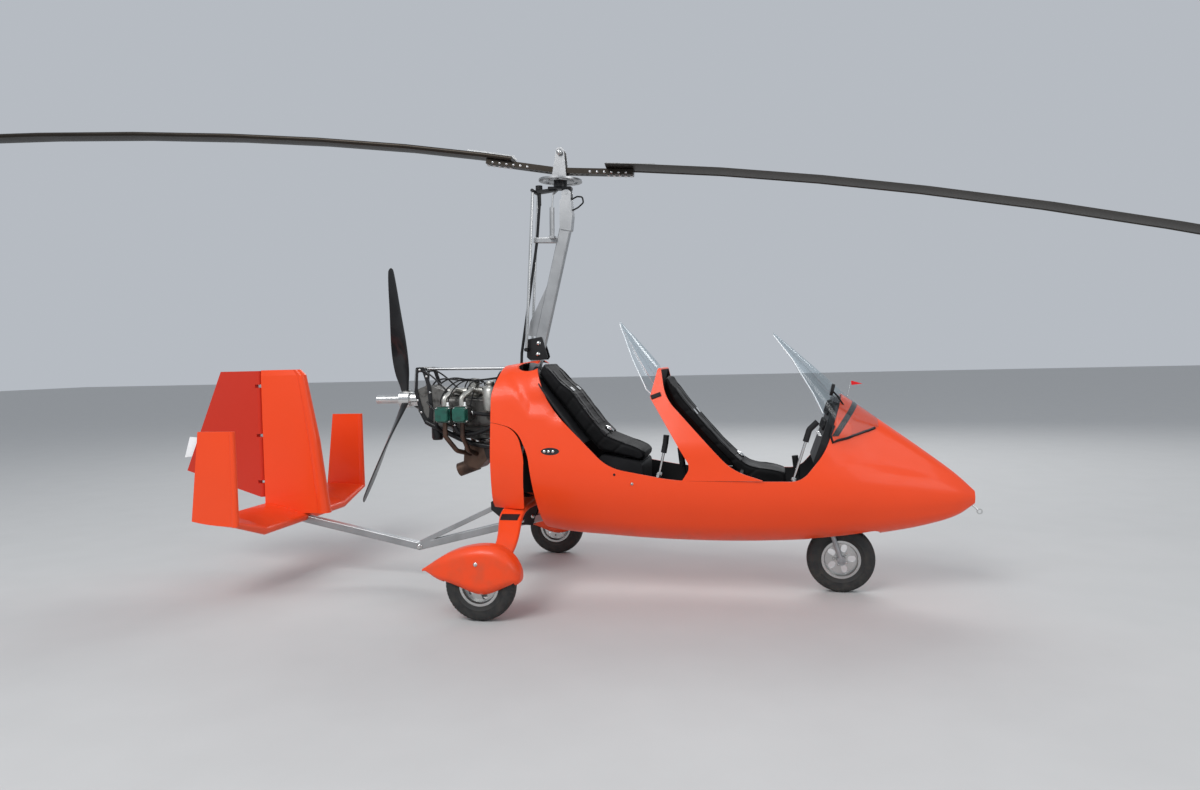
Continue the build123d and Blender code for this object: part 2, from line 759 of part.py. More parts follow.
def prop_location():
    return Location((PROP_X, 0, PROP_Z)) * Rot(180 - PROP_REST, 0, 0)


def prop_blade(index):
    """Local Z runs out along the blade; X is the shaft."""
    # Stations: radius, chord, thickness, twist from the disc in degrees
    stations = [
        (PROP_HUB_R - 16, 46.0, 40.0, 60.0),
        (170.0, 92.0, 26.0, 46.0),
        (330.0, 118.0, 18.0, 33.0),
        (600.0, 96.0, 12.0, 20.0),
        (PROP_R, 46.0, 6.0, 14.0),
    ]
    faces = []
    for r, chord, thick, twist in stations:
        a = radians(twist)
        across = Vector(-sin(a), cos(a), 0)
        plane = Plane(origin=Vector(0, 0, r) - across * chord * 0.4, x_dir=across, z_dir=(0, 0, 1))
        faces.append(plane * airfoil_face(chord, thick, tail=2.0))
    blade = loft(faces)
    turn = prop_location() * Rot(120.0 * index, 0, 0)
    return turn * blade


def prop_hub():
    start = PROP_X - PROP_HUB_L / 2
    hub = rod((start, 0, PROP_Z), (start + PROP_HUB_L, 0, PROP_Z), PROP_HUB_R)
    tail = rod((start - TAIL_CONE_L, 0, PROP_Z), (start, 0, PROP_Z), TAIL_CONE_R)
    neck = rod((start + PROP_HUB_L, 0, PROP_Z), (-1004.0, 0, PROP_Z), 46)
    shaft = rod((-1004.0, 0, PROP_Z), (-960.0, 0, PROP_Z), 24)
    return hub + tail + neck + shaft


# Engine: flat four, its cylinders level at each side
CRANK_Z = 1104.0
CRANK_X = (-810.0, -470.0)
CRANK_HALF = 95.0
CRANK_HIGH = 100.0
HEAD_X = (-763.0, -648.0)
HEAD_Y = 215.0
HEAD_T = 50.0
HEAD_W = 100.0
HEAD_H = 104.0
COVER_T = 43.0
SUMP_HALF = 60.0
SUMP_LOW = 165.0
GEARBOX_HALF = 88.0
SEAT_FIT = 0.3


def crankcase():
    length = CRANK_X[1] - CRANK_X[0]
    middle = (CRANK_X[0] + CRANK_X[1]) / 2
    case = Pos(middle, 0, CRANK_Z + 6) * Box(length, 2 * CRANK_HALF, 2 * CRANK_HIGH)
    case = fillet(case.edges().filter_by(Axis.X), 34)
    sump = Pos(middle - 10, 0, CRANK_Z - SUMP_LOW + 40) * Box(250, 2 * SUMP_HALF, 80)
    for k in range(4):
        x = CRANK_X[0] + 45 + 80 * k
        rib = Pos(x, 0, CRANK_Z + 6) * Box(10, 2 * CRANK_HALF + 8, 2 * CRANK_HIGH - 76)
        case += rib
    return case + sump


def gearbox():
    body = side_face(
        (-998.0, 1120.0),
        (-998.0, 1262.0),
        (-930.0, 1288.0),
        (CRANK_X[0] - SEAT_FIT, 1250.0),
        (CRANK_X[0] - SEAT_FIT, 1010.0),
        (-930.0, 1020.0),
        radius=16,
    )
    boss = rod((-1001, 0, PROP_Z), (-930, 0, PROP_Z), 62)
    return slab(body, GEARBOX_HALF) + boss - rod((-1010, 0, PROP_Z), (-950, 0, PROP_Z), 24 + RUN_FIT)


def cylinders():
    """Four finned barrels with their heads."""
    solids = []
    head_face = HEAD_Y - HEAD_T / 2
    for x in HEAD_X:
        for side in (1, -1):
            solid = rod((x, side * (CRANK_HALF + 4 + SEAT_FIT), CRANK_Z), (x, side * head_face, CRANK_Z), 44)
            for k in range(5):
                y = CRANK_HALF + 18 + 13.5 * k
                solid += rod((x, side * y, CRANK_Z), (x, side * (y + 5), CRANK_Z), 55)
            head = Pos(x, side * HEAD_Y, CRANK_Z) * Box(HEAD_W, HEAD_T, HEAD_H)
            head = chamfer(head.edges().filter_by(Axis.Y), 12)
            solids.append(solid + head)
    return solids


def rocker_covers():
    """Pressed covers: a flange and a smaller raised box, wider at the top."""
    covers = []
    for x in HEAD_X:
        for side in (1, -1):
            foot = side * (HEAD_Y + HEAD_T / 2 + SEAT_FIT)
            faces = []
            for out, grow in ((0, 0.0), (8, 0.0), (8.01, -9.0), (COVER_T - 6, -13.0), (COVER_T, -22.0)):
                plane = Plane(origin=(x, foot + side * out, CRANK_Z), x_dir=(1, 0, 0), z_dir=(0, side, 0))
                shape = RectangleRounded(HEAD_W - 2 + grow, HEAD_H - 8 + grow, 16)
                faces.append(plane * shape)
            flange = loft(faces[:2], ruled=True)
            covers.append(flange + loft(faces[1:], ruled=True))
    return covers


def engine_intakes():
    """Plenum, four pale elbows down to the heads, and two carburettors."""
    top = CRANK_Z + 6 + CRANK_HIGH + SEAT_FIT
    plenum = Pos(-690, 0, top + 26) * Box(220, 130, 52)
    plenum = fillet(plenum.edges().filter_by(Axis.X), 18)
    for x in HEAD_X:
        for side in (1, -1):
            points = [
                (x, side * HEAD_Y, CRANK_Z + HEAD_H / 2 + SEAT_FIT),
                (x, side * HEAD_Y, CRANK_Z + 104),
                (x + 44, side * 150, CRANK_Z + 152),
                (x + 52, side * 50, CRANK_Z + 134),
            ]
            plenum += tube_path(points, 17, 30)
    for side in (1, -1):
        y = side * 44
        plenum += rod((-590, y, 1244), (-500, y, 1252), 27)
        plenum += rod((-545, y, top), (-545, y, 1244), 22)
    tank = rod((-640, 0, 1255), (-640, 0, 1322), 34)
    return plenum + tank


def air_filters():
    """One short drum behind each carburettor's mouth."""
    return [rod((-499.6, side * 46, 1252), (-452, side * 46, 1256), 38) for side in (1, -1)]


MUFFLER_HALF = 80.0


def muffler():
    """Boxy silencer under the engine, its outlet and four header pipes."""
    outline = side_face(
        (-690.0, 892.0), (-575.0, 926.0), (-540.0, 800.0), (-600.0, 738.0), (-700.0, 776.0), radius=24
    )
    can = slab(outline, MUFFLER_HALF)
    can = can + rod((-620, -30, 775), (-748, -30, 730), 44) - rod((-700, -30, 747), (-760, -30, 725.7), 36)
    for x, into in zip(HEAD_X, (-650.0, -608.0)):
        for side in (1, -1):
            points = [
                (x, side * HEAD_Y, CRANK_Z - HEAD_H / 2 - SEAT_FIT),
                (x, side * HEAD_Y, 965),
                ((x + into) / 2, side * 170, 870),
                (into, side * 70, 838),
            ]
            can += tube_path(points, 15, 40)
    return can


def engine_mount():
    """Black cradle: two side plates at the gearbox, and tubes to the mast."""
    plate_line = side_face(
        (-1004, 1404),
        (-944, 1404),
        (-905, 1290),
        (-893, 1130),
        (-900, 1036),
        (-950, 1036),
        (-984, 1104),
        (-1020, 1251),
        radius=12,
    )
    plate_y = GEARBOX_HALF + SEAT_FIT + 3
    solid = Pos(-974, 0, 1392) * Box(44, 2 * plate_y + 6, 24)
    rear_tip = (mast_x(1383) - 30, 0, 1383)
    solid += rod((-985, 0, 1370), rear_tip, 9) + Pos(-974, 0, 1376) * Box(30, 30, 30)
    for side in (1, -1):
        plate = slab(plate_line, 3, side * plate_y)
        plate -= rod((-950, -200, PROP_Z + 110), (-950, 200, PROP_Z + 110), 17)
        plate -= rod((-925, -200, PROP_Z - 70), (-925, 200, PROP_Z - 70), 17)
        y = side * 108
        lower = tube_path([(-936, y, 1052), (-640, y, 905), (-440, y, 882)], 17, 160)
        solid += plate + lower
    cross = rod((-462, -118, 884), (-462, 118, 884), 18)
    tie = rod((-462, 0, 884), (mast_x(884) - 30, 0, 884), 18)
    return solid + cross + tie


# Tail stations, right winglet top to left winglet top:
# y, nose x, tail x, nose z, tail z, thickness
TAIL_ROWS = [
    (-784.0, -1854.0, -2103.0, 1053.0, 1053.0, 24.0),
    (-784.0, -1852.0, -2169.0, 494.0, 513.0, 40.0),
    (-490.0, -1858.0, -2180.0, 396.0, 490.0, 56.0),
    (490.0, -1858.0, -2180.0, 396.0, 490.0, 56.0),
    (784.0, -1852.0, -2169.0, 494.0, 513.0, 40.0),
    (784.0, -1854.0, -2103.0, 1053.0, 1053.0, 24.0),
]


def stabilizer():
    faces = []
    count = len(TAIL_ROWS)
    for i, (y, nose_x, tail_x, nose_z, tail_z, thick) in enumerate(TAIL_ROWS):
        runs = []
        for a, b in ((i - 1, i), (i, i + 1)):
            if a >= 0 and b < count:
                step = Vector(0, TAIL_ROWS[b][0] - TAIL_ROWS[a][0], TAIL_ROWS[b][3] - TAIL_ROWS[a][3])
                runs.append(step.normalized())
        normal = runs[0] if len(runs) == 1 else (runs[0] + runs[1])
        nose, tail = Vector(nose_x, y, nose_z), Vector(tail_x, y, tail_z)
        chord = tail - nose
        across = normal - chord.normalized() * normal.dot(chord.normalized())
        plane = Plane(origin=nose, x_dir=chord, z_dir=across)
        faces.append(plane * airfoil_face(chord.length, thick, tail=4.0))
    return loft(faces, ruled=True)


FIN_REAR = HINGE_X + RUDDER_NOSE_R + FIN_GAP

# Fin rows: z, nose x, thickness
FIN_ROWS = [
    (430.0, -1700.0, 92.0),
    (540.0, -1716.0, 80.0),
    (926.0, -1764.0, 76.0),
    (1370.0, -1848.0, 66.0),
    (1408.0, -1886.0, 52.0),
]


def fin_face(nose_x, rear_x, thick):
    """Half a streamline: round nose and a blunt, open rear edge."""
    t = thick / 2
    chord = nose_x - rear_x
    front = ThreePointArc((nose_x - chord * 0.16, t * 0.74), (nose_x, 0), (nose_x - chord * 0.16, -t * 0.74))
    under = ThreePointArc(
        (nose_x - chord * 0.16, -t * 0.74), (nose_x - chord * 0.6, -t), (rear_x, -t * 0.86)
    )
    end = Line((rear_x, -t * 0.86), (rear_x, t * 0.86))
    over = ThreePointArc((rear_x, t * 0.86), (nose_x - chord * 0.6, t), (nose_x - chord * 0.16, t * 0.74))
    return make_face([front, under, end, over])


def fin():
    """Moulded fin: a skin with a closed top and rear web, open below."""
    def rows(inset):
        return [
            Pos(0, 0, z) * fin_face(nose - inset, FIN_REAR + inset, thick - 2 * inset)
            for z, nose, thick in FIN_ROWS
        ]

    outer, inner = rows(0), rows(SKIN)
    skin = loft(outer[:2], ruled=True) + loft(outer[1:], ruled=True)
    return skin - loft(inner[:2], ruled=True) - loft(inner[1:4], ruled=True)


# Rudder rows: z, tail x
RUDDER_LOW = 536.0
RUDDER_TOP = 1404.0


def rudder_solid():
    """Rudder in line with the fin, hinge axis through HINGE_X."""
    def section(z, chord, nose_r, tail):
        rear = HINGE_X - chord
        front = ThreePointArc((HINGE_X, nose_r), (HINGE_X + nose_r, 0), (HINGE_X, -nose_r))
        under = Line((HINGE_X, -nose_r), (rear, -tail))
        end = Line((rear, -tail), (rear, tail))
        over = Line((rear, tail), (HINGE_X, nose_r))
        return Pos(0, 0, z) * make_face([front, under, end, over])

    body = loft([section(500, 812, RUDDER_NOSE_R, 4), section(RUDDER_TOP, 348, 22, 3)], ruled=True)
    below = plain_side(
        (-2130, 400), (-2130, RUDDER_LOW), (-2205, RUDDER_LOW), (-2960, 705), (-3100, 735), (-3100, 400)
    )
    body -= slab(below, 200)
    for z in RUDDER_HINGES:
        slot = Pos(HINGE_X + 22, 0, z) * Box(80, 90, 22)
        body -= slot
        body -= Pos(HINGE_X, 0, z) * Cylinder(6 + RUN_FIT, 70)
    return body


RUDDER_HINGES = (640.0, 960.0, 1300.0)


def rudder_turn():
    """Rest deflection: trailing edge to the left."""
    return Location((HINGE_X, 0, 0)) * Rot(0, 0, -RUDDER_REST) * Location((-HINGE_X, 0, 0))


def rudder():
    return rudder_turn() * rudder_solid()


def rudder_tab():
    tab = plain_side((-2850, 800), (-2938, 790), (-2880, 940), (-2780, 934))
    return rudder_turn() * slab(tab, 1.5, 0)


def rudder_hinges():
    solids = []
    for z in RUDDER_HINGES:
        arm = Pos(HINGE_X + 30, 0, z) * Box(60, 16, 14)
        pin = Pos(HINGE_X, 0, z) * Cylinder(6, 64)
        solids.append(arm + pin)
    return solids


def mirror():
    """Round mirror on a stalk that stands on the windscreen's side."""
    head = rod((1588, -252, 1226), (1604, -252, 1222), 34)
    stalk = rod((1598, -250, 1216), (1628, -232, 1184), 5)
    foot = rod((1628, -232, 1184), (1662, -180, 1130), 5)
    return head + stalk + Pos(1628, -232, 1184) * Sphere(5) + one(foot - front_dome(0.3))


def front_dome(gap):
    """The front windscreen's outside as a filled solid."""
    faces = []
    for x, top, edge, half in FRONT_GLASS:
        half, top = half + gap, top + gap
        arc = ThreePointArc((-half, edge), (0, top), (half, edge))
        faces.append(Plane.YZ.offset(x) * make_face([arc, Line((half, edge), (-half, edge))]))
    return loft(faces, ruled=True)


TOW_RING = (2428.0, 494.0)
TOW_RING_R = 17.0
TOW_HOLE_R = 9.5
TOW_RING_T = 8.0


def tow_eye():
    shank = rod((2360, 0, 560), (TOW_RING[0] - 11, 0, TOW_RING[1] + 9), 5)
    ring = slab(Pos(TOW_RING[0], 0, TOW_RING[1]) * (Plane.XZ * Circle(TOW_RING_R)), TOW_RING_T / 2)
    hole = slab(Pos(TOW_RING[0], 0, TOW_RING[1]) * (Plane.XZ * Circle(TOW_HOLE_R)), TOW_RING_T)
    return one(shank - POD) + ring - hole


def trim_cylinder():
    body = rod((-78, -48, 2208.3), (-74, -48, 2385), 15)
    shaft = rod((-74, -48, 2380), (-66, -44, 2466), 5)
    eye = rod((-66, -44, 2466), (-50, -22, 2488), 6)
    return body + shaft + eye


def cylinder_bracket():
    """Arm behind the mast with a foot for the trim cylinder."""
    arm = bar((mast_x(2190) - 20, 0, 2184), (-206, 0, 2193), 42, 34)
    foot = Pos(-78, -33, 2200) * Box(34, 66, 16)
    return one(arm + foot - mast_block(2000, 2290, SEAT_GAP) - drive_sleeve(DRIVE_R + SEAT_GAP))


def control_rods():
    rods = []
    for side in (1, -1):
        y = side * 62.0
        low = (ROD_SHAFT[0], y, ROD_SHAFT[1] + 12.3)
        high = (BEAM[0] - 2, y, BEAM[1] - 11.4)
        rods.append(rod(low, high, 9))
    return rods


def rod_bracket():
    """Arm and cross shaft at the mast's foot that work the two rods."""
    x, z = ROD_SHAFT
    arm = Pos(x + 15, 0, z) * Box(60, 36, 26)
    shaft = rod((x, -76, z), (x, 76, z), 12)
    return one(arm + shaft - mast_block(1200, 1800, 0.3))


def head_hose():
    """Short loop of hose beside the cast head."""
    points = [(42, 0, 2436), (78, 0, 2452), (112, 0, 2448), (118, 0, 2412), (84, 0, 2384), (44, 0, 2366)]
    path = FilletPolyline(*points, radius=[18, 16, 16, 22])
    return sweep(Plane(origin=path @ 0, z_dir=path % 0) * Circle(5), path=path)


# Instrument board, seen from the side
BOARD_LINE = [
    (1482.0, 800.0),
    (1530.0, 930.0),
    (1576.0, 1060.0),
    (1612.0, 1176.0),
    (1668.0, 1176.0),
    (1640.0, 1060.0),
    (1596.0, 930.0),
    (1548.0, 800.0),
]


def instrument_panel():
    board = side_face(*BOARD_LINE, radius=[8, 200, 200, 16, 12, 150, 150, 8])
    return one(slab(board, 250) & pod_solid(WALL + 1, POD_SECTIONS[:-1]))


def tube_path(points, radius, corner):
    """Round bar along straight runs with rounded corners."""
    path = FilletPolyline(*points, radius=corner)
    return sweep(Plane(origin=path @ 0, z_dir=path % 0) * Circle(radius), path=path)


# Hand levers: foot, top of the bright bar, middle and end of the grip (x, z)
LEVERS = {
    "front": ((1376.0, 716.0), (1444.0, 930.0), (1466.0, 1000.0), (1512.0, 1044.0)),
    "rear": ((600.0, 745.0), (628.0, 868.0), (640.0, 925.0), (646.0, 972.0)),
}
LEVER_Y = -270.0
LEVER_R = 8.0


def lever_bars():
    bars = []
    for foot, top, _, _ in LEVERS.values():
        bars.append(rod((foot[0], LEVER_Y, foot[1]), (top[0], LEVER_Y, top[1]), LEVER_R))
        clevis = rod((foot[0], LEVER_Y - 12, foot[1] - 6), (foot[0], LEVER_Y + 12, foot[1] - 6), 16)
        wall = rod((foot[0], LEVER_Y, foot[1] - 6), (foot[0], -420, foot[1] - 6), 9)
        bars[-1] = bars[-1] + clevis + one(wall & pod_solid(WALL + 0.3, POD_SECTIONS[:-1]))
    return bars


def lever_grips():
    grips = []
    for _, top, middle, end in LEVERS.values():
        points = [(top[0], LEVER_Y, top[1]), (middle[0], LEVER_Y, middle[1]), (end[0], LEVER_Y, end[1])]
        away = Vector(middle[0] - top[0], 0, middle[1] - top[1]).normalized() * 0.3
        points[0] = (top[0] + away.X, LEVER_Y, top[1] + away.Z)
        grips.append(tube_path(points, 17, 34))
    return grips


# Control sticks: foot, bend and top (x, z)
STICKS = (
    ((1420.0, 390.0), (1420.0, 560.0), (1392.0, 800.0)),
    ((735.0, 412.0), (735.0, 620.0), (700.0, 850.0)),
)


def sticks():
    solids = []
    for foot, bend, top in STICKS:
        stem = tube_path([(foot[0], 0, foot[1]), (bend[0], 0, bend[1]), (top[0], 0, top[1])], 11, 60)
        grip = rod((top[0] + 8, 0, top[1] - 90), (top[0] - 4, 0, top[1] + 20), 19)
        solids.append(one(stem + grip - keel_cover()))
    return solids


def firewall():
    plate = (POD_INSIDE & (Pos(-418, 0, 1100) * Box(8, 800, 900)))
    return plate


# The rear seat leans on this line: foot and head of the bulkhead, x and z
REST_FOOT = (150.0, 930.0)
REST_HEAD = (-225.0, 1418.0)
REST_T = 8.0
SEAT_HALF = (168.0, 182.0)
SEAT_GAP = 0.3

# Seat outlines in the XZ plane: squab first, then up the back
FRONT_SEAT = [
    (1330.0, 640.0),
    (1336.0, 752.0),
    (1120.0, 775.0),
    (945.0, 935.0),
    (735.0, 1186.0),
    (640.0, 1330.0),
    (570.0, 1330.0),
    (820.0, 860.0),
    (1010.0, 640.0),
]
FRONT_ROUNDS = [34, 34, 120, 300, 300, 20, 12, 200, 60]
REAR_SEAT = [
    (492.0, 800.0),
    (505.0, 880.0),
    (262.0, 968.0),
    (50.0, 1255.0),
    (-128.0, 1428.0),
    (-176.0, 1372.0),
    (100.0, 1013.0),
    (210.0, 850.0),
]
REAR_ROUNDS = [34, 34, 60, 300, 24, 12, 400, 50]


def seat_front():
    outline = slab(side_face(*FRONT_SEAT, radius=FRONT_ROUNDS), SEAT_HALF[0])
    fairing = slab(side_face(*FAIRING_LINE, radius=FAIRING_ROUNDS), REACH_Y)
    return one(outline - Pos(SEAT_GAP, 0, SEAT_GAP) * fairing)


def seat_rear():
    outline = slab(side_face(*REAR_SEAT, radius=REAR_ROUNDS), SEAT_HALF[1])
    return one(outline & pod_solid(WALL + 1, POD_SECTIONS[:-1]) - bulkhead_line(SEAT_GAP))


def bulkhead_line(gap):
    """Everything behind the bulkhead's front face, less a gap."""
    run = Vector(REST_HEAD[0] - REST_FOOT[0], 0, REST_HEAD[1] - REST_FOOT[1]).normalized()
    low = Vector(REST_FOOT[0], 0, REST_FOOT[1]) - run * 300
    high = Vector(REST_HEAD[0], 0, REST_HEAD[1]) + run * 200
    back = Vector(-run.Z, 0, run.X)
    a, b = low - back * gap, high - back * gap
    c, d = high + back * 300, low + back * 300
    return slab(plain_side((a.X, a.Z), (b.X, b.Z), (c.X, c.Z), (d.X, d.Z)), REACH_Y)


def bulkhead():
    """Sheet across the pod behind the rear seat."""
    foot, head = Vector(REST_FOOT[0], 0, REST_FOOT[1]), Vector(REST_HEAD[0], 0, REST_HEAD[1])
    run = (head - foot).normalized()
    back = Vector(-run.Z, 0, run.X) * (REST_T / 2)
    sheet = bar(foot + back, head + back, 2 * REACH_Y, REST_T)
    return one(sheet & pod_solid(WALL + 0.5, POD_SECTIONS[:-1]))


# Moulded pans under the seats: outline in the XZ plane, then half width
PAN_WALL = 6.0
FRONT_PAN = [(1316.0, 412.0), (1316.0, 639.6), (1016.0, 639.6), (1016.0, 421.0)]
REAR_PAN = [(486.0, 437.0), (486.0, 800.6), (218.0, 848.0), (218.0, 446.0)]


def seat_pans():
    pans = []
    for points, half in ((FRONT_PAN, 196.0), (REAR_PAN, 200.0)):
        outer = slab(side_face(*points, radius=[1, 30, 30, 1]), half)
        inset = offset(plain_side(*points), amount=-PAN_WALL)
        room = slab(inset, half - PAN_WALL)
        pans.append(one(outer - room - Pos(0, 0, -2 * PAN_WALL) * room - keel_cover()))
    return pans


def keel_cover():
    """The floor run of the keel, grown a little, for what stands over it."""
    step = (KEEL_STEP[0], 0, KEEL_STEP[1])
    end = (KEEL_FRONT[0], 0, KEEL_FRONT[1])
    return bar(step, end, KEEL_TUBE + 0.6, KEEL_TUBE + 0.6)


def one(shape):
    """The single largest solid of a shape."""
    return sorted(shape.solids(), key=lambda s: -s.volume)[0]


parts = {}
parts["body_shell"] = body_shell()
left_panel, right_panel = quarter_panels()
parts["quarter_panel_left"] = left_panel
parts["quarter_panel_right"] = right_panel
parts["seat_fairing"] = one(seat_fairing() - parts["body_shell"])
parts["windscreen_front"] = one(windscreen(FRONT_GLASS) - POD)
parts["windscreen_rear"] = one(windscreen(REAR_GLASS) - parts["seat_fairing"])
parts["seat_front"] = seat_front()
parts["seat_rear"] = seat_rear()
parts["instrument_panel"] = instrument_panel()
parts["keel_beam"] = keel_beam()
parts["keel_strut"] = one(keel_strut() - keel_filled())
parts["mast"] = mast()
parts["gear_bow"] = main_gear_bow()
parts["frame_plates"] = frame_plates() - parts["gear_bow"]
parts["mast_head"] = mast_head()
parts["gimbal_head"] = gimbal_head()
parts["rotor_tower"] = rotor_tower()
parts["hub_bar"] = hub_bar()
parts["rotor_blade_front"] = rotor_blade(1)
parts["rotor_blade_rear"] = rotor_blade(-1)
parts["prop_hub"] = prop_hub()
for number in range(PROP_BLADES):
    parts[f"prop_blade_{number + 1}"] = prop_blade(number) - parts["prop_hub"]
parts["crankcase"] = crankcase()
parts["gearbox"] = gearbox()
parts["cylinders"] = Compound(children=cylinders())
parts["rocker_covers"] = Compound(children=rocker_covers())
parts["muffler"] = muffler()
parts["engine_mount"] = one(engine_mount() - mast_block(700, 1500, SEAT_FIT) - parts["body_shell"])
mast_way = mast_block(500, 1600, 3)
parts["firewall"] = firewall() - parts["engine_mount"] - mast_way
parts["bulkhead"] = one(bulkhead() - mast_way)
parts["seat_pans"] = Compound(children=seat_pans())
parts["side_lamps"] = Compound(children=side_lamps())
parts["lever_bars"] = Compound(children=lever_bars())
parts["hand_grips"] = Compound(children=lever_grips() + sticks())
parts["engine_intakes"] = engine_intakes()
parts["air_filters"] = Compound(children=air_filters())
for label, side in (("left", 1), ("right", -1)):
    parts[f"wheel_fairing_{label}"] = one(wheel_fairing(side) - parts["gear_bow"])
    parts[f"main_tyre_{label}"] = place_wheel(wheel_tyre(), MAIN_X, side * TRACK_HALF)
    parts[f"main_rim_{label}"] = place_wheel(wheel_rim(5, -side), MAIN_X, side * TRACK_HALF)
parts["nose_fork"] = nose_fork()
parts["nose_mount"] = nose_mount()
parts["nose_tyre"] = place_wheel(wheel_tyre(), NOSE_X, 0)
parts["nose_rim"] = place_wheel(wheel_rim(5), NOSE_X, 0)
parts["stabilizer"] = stabilizer() - keel_envelope()
parts["fin"] = fin() - parts["stabilizer"] - keel_envelope()
parts["rudder"] = rudder()
parts["rudder_tab"] = one(rudder_tab() - parts["rudder"])
parts["rudder_hinges"] = Compound(children=[one(h - parts["fin"]) for h in rudder_hinges()])
parts["mirror"] = mirror()
parts["tow_eye"] = tow_eye()
parts["trim_cylinder"] = Compound(children=[trim_cylinder(), cylinder_bracket()])
parts["control_rods"] = Compound(children=control_rods())
parts["mast_brackets"] = Compound(children=mast_brackets() + [rod_bracket()])
parts["prerotator"] = Compound(children=prerotator())
parts["head_hose"] = one(head_hose() - parts["mast_head"])

os.makedirs("parts", exist_ok=True)
for name, shape in parts.items():
    export_step(shape, f"parts/{name}.step")
    print(name, round(shape.volume / 1000), "cm3")
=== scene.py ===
# %% [markdown]
# A tandem gyrocopter, dressed in Blender around its engineering model.
#
# The engineering model fixes every size and every moving joint. This file
# adds what the eye sees: paint, rubber, bare metal, clear screens, padded
# seats, hoses, bolts and instruments. Each step below first says what the
# real thing is, then how it could be made, and why this way was chosen.

# %% Load the frame
import json
import math

import bmesh
import bpy
import numpy as np
from mathutils import Matrix, Vector
from mathutils.bvhtree import BVHTree


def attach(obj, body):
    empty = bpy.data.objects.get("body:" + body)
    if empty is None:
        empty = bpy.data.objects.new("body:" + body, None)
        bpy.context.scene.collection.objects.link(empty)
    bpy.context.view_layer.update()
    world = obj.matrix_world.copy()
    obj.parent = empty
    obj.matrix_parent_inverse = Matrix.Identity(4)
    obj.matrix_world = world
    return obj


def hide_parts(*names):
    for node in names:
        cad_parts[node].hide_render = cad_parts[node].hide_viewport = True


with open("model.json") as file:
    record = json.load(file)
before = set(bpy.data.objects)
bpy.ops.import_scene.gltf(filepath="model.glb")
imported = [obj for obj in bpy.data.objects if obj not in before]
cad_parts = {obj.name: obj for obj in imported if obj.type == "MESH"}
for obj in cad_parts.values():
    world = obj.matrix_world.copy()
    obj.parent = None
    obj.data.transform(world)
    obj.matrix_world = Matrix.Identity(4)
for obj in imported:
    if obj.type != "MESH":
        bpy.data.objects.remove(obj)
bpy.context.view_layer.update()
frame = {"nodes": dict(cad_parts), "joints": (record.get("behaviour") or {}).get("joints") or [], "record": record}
nodes = frame["nodes"]


def link(name, data):
    """A new object in the scene."""
    thing = bpy.data.objects.new(name, data)
    bpy.context.scene.collection.objects.link(thing)
    return thing


# %% [markdown]
# The camera comes first. The photographer stood on the right side of the
# aircraft, a little ahead of the mast, with a wide lens held at eye height.
# Place, heading and focal length were solved from the wheels, the pod's
# outline and the rotor, so here they are plain measured values. A camera
# looks along its own -Z, with +X to the right of the picture.

# %% Camera
EYE = np.array([1.2999, -5.2151, 1.4308])
HEADING, DIP, LEAN = 0.2089, 0.0427, -0.0242
FOCAL_PIXELS, PICTURE_WIDTH, SENSOR_MM = 845.28, 1200, 36.0


def camera_axes(heading, dip, lean):
    """Right, up and back unit vectors of a camera that looks along +Y at
    heading 0, turned left by heading, down by dip and rolled by lean."""
    level = np.array([-math.sin(heading), math.cos(heading), 0.0])
    ahead = level * math.cos(dip) - [0.0, 0.0, math.sin(dip)]
    right = np.array([math.cos(heading), math.sin(heading), 0.0])
    up = np.cross(right, ahead)
    tipped_right = right * math.cos(lean) + up * math.sin(lean)
    tipped_up = up * math.cos(lean) - right * math.sin(lean)
    return tipped_right, tipped_up, -ahead


def add_camera():
    data = bpy.data.cameras.new("camera")
    data.sensor_width = SENSOR_MM
    data.lens = FOCAL_PIXELS / PICTURE_WIDTH * SENSOR_MM
    data.clip_start, data.clip_end = 0.05, 200.0
    camera = link("camera", data)
    rows = np.column_stack([*camera_axes(HEADING, DIP, LEAN), EYE]).tolist()
    camera.matrix_world = Matrix([*rows, (0.0, 0.0, 0.0, 1.0)])
    bpy.context.scene.camera = camera
    print("lens", round(data.lens, 2), "mm")


add_camera()

# %% [markdown]
# Every finish is a small graph of shader nodes. They could be wired one by
# one, but the same few steps come back in each: read a coordinate, make
# noise from it, map a range, mix two colours, turn a height into relief. So
# each step is a short method here, and a finish reads like a recipe.

# %% Shader steps
LABELS = {
    "color": "Base Color", "roughness": "Roughness", "metallic": "Metallic", "normal": "Normal",
    "coat": "Coat Weight", "coat_roughness": "Coat Roughness", "sheen": "Sheen Weight",
    "specular": "Specular IOR Level",
}


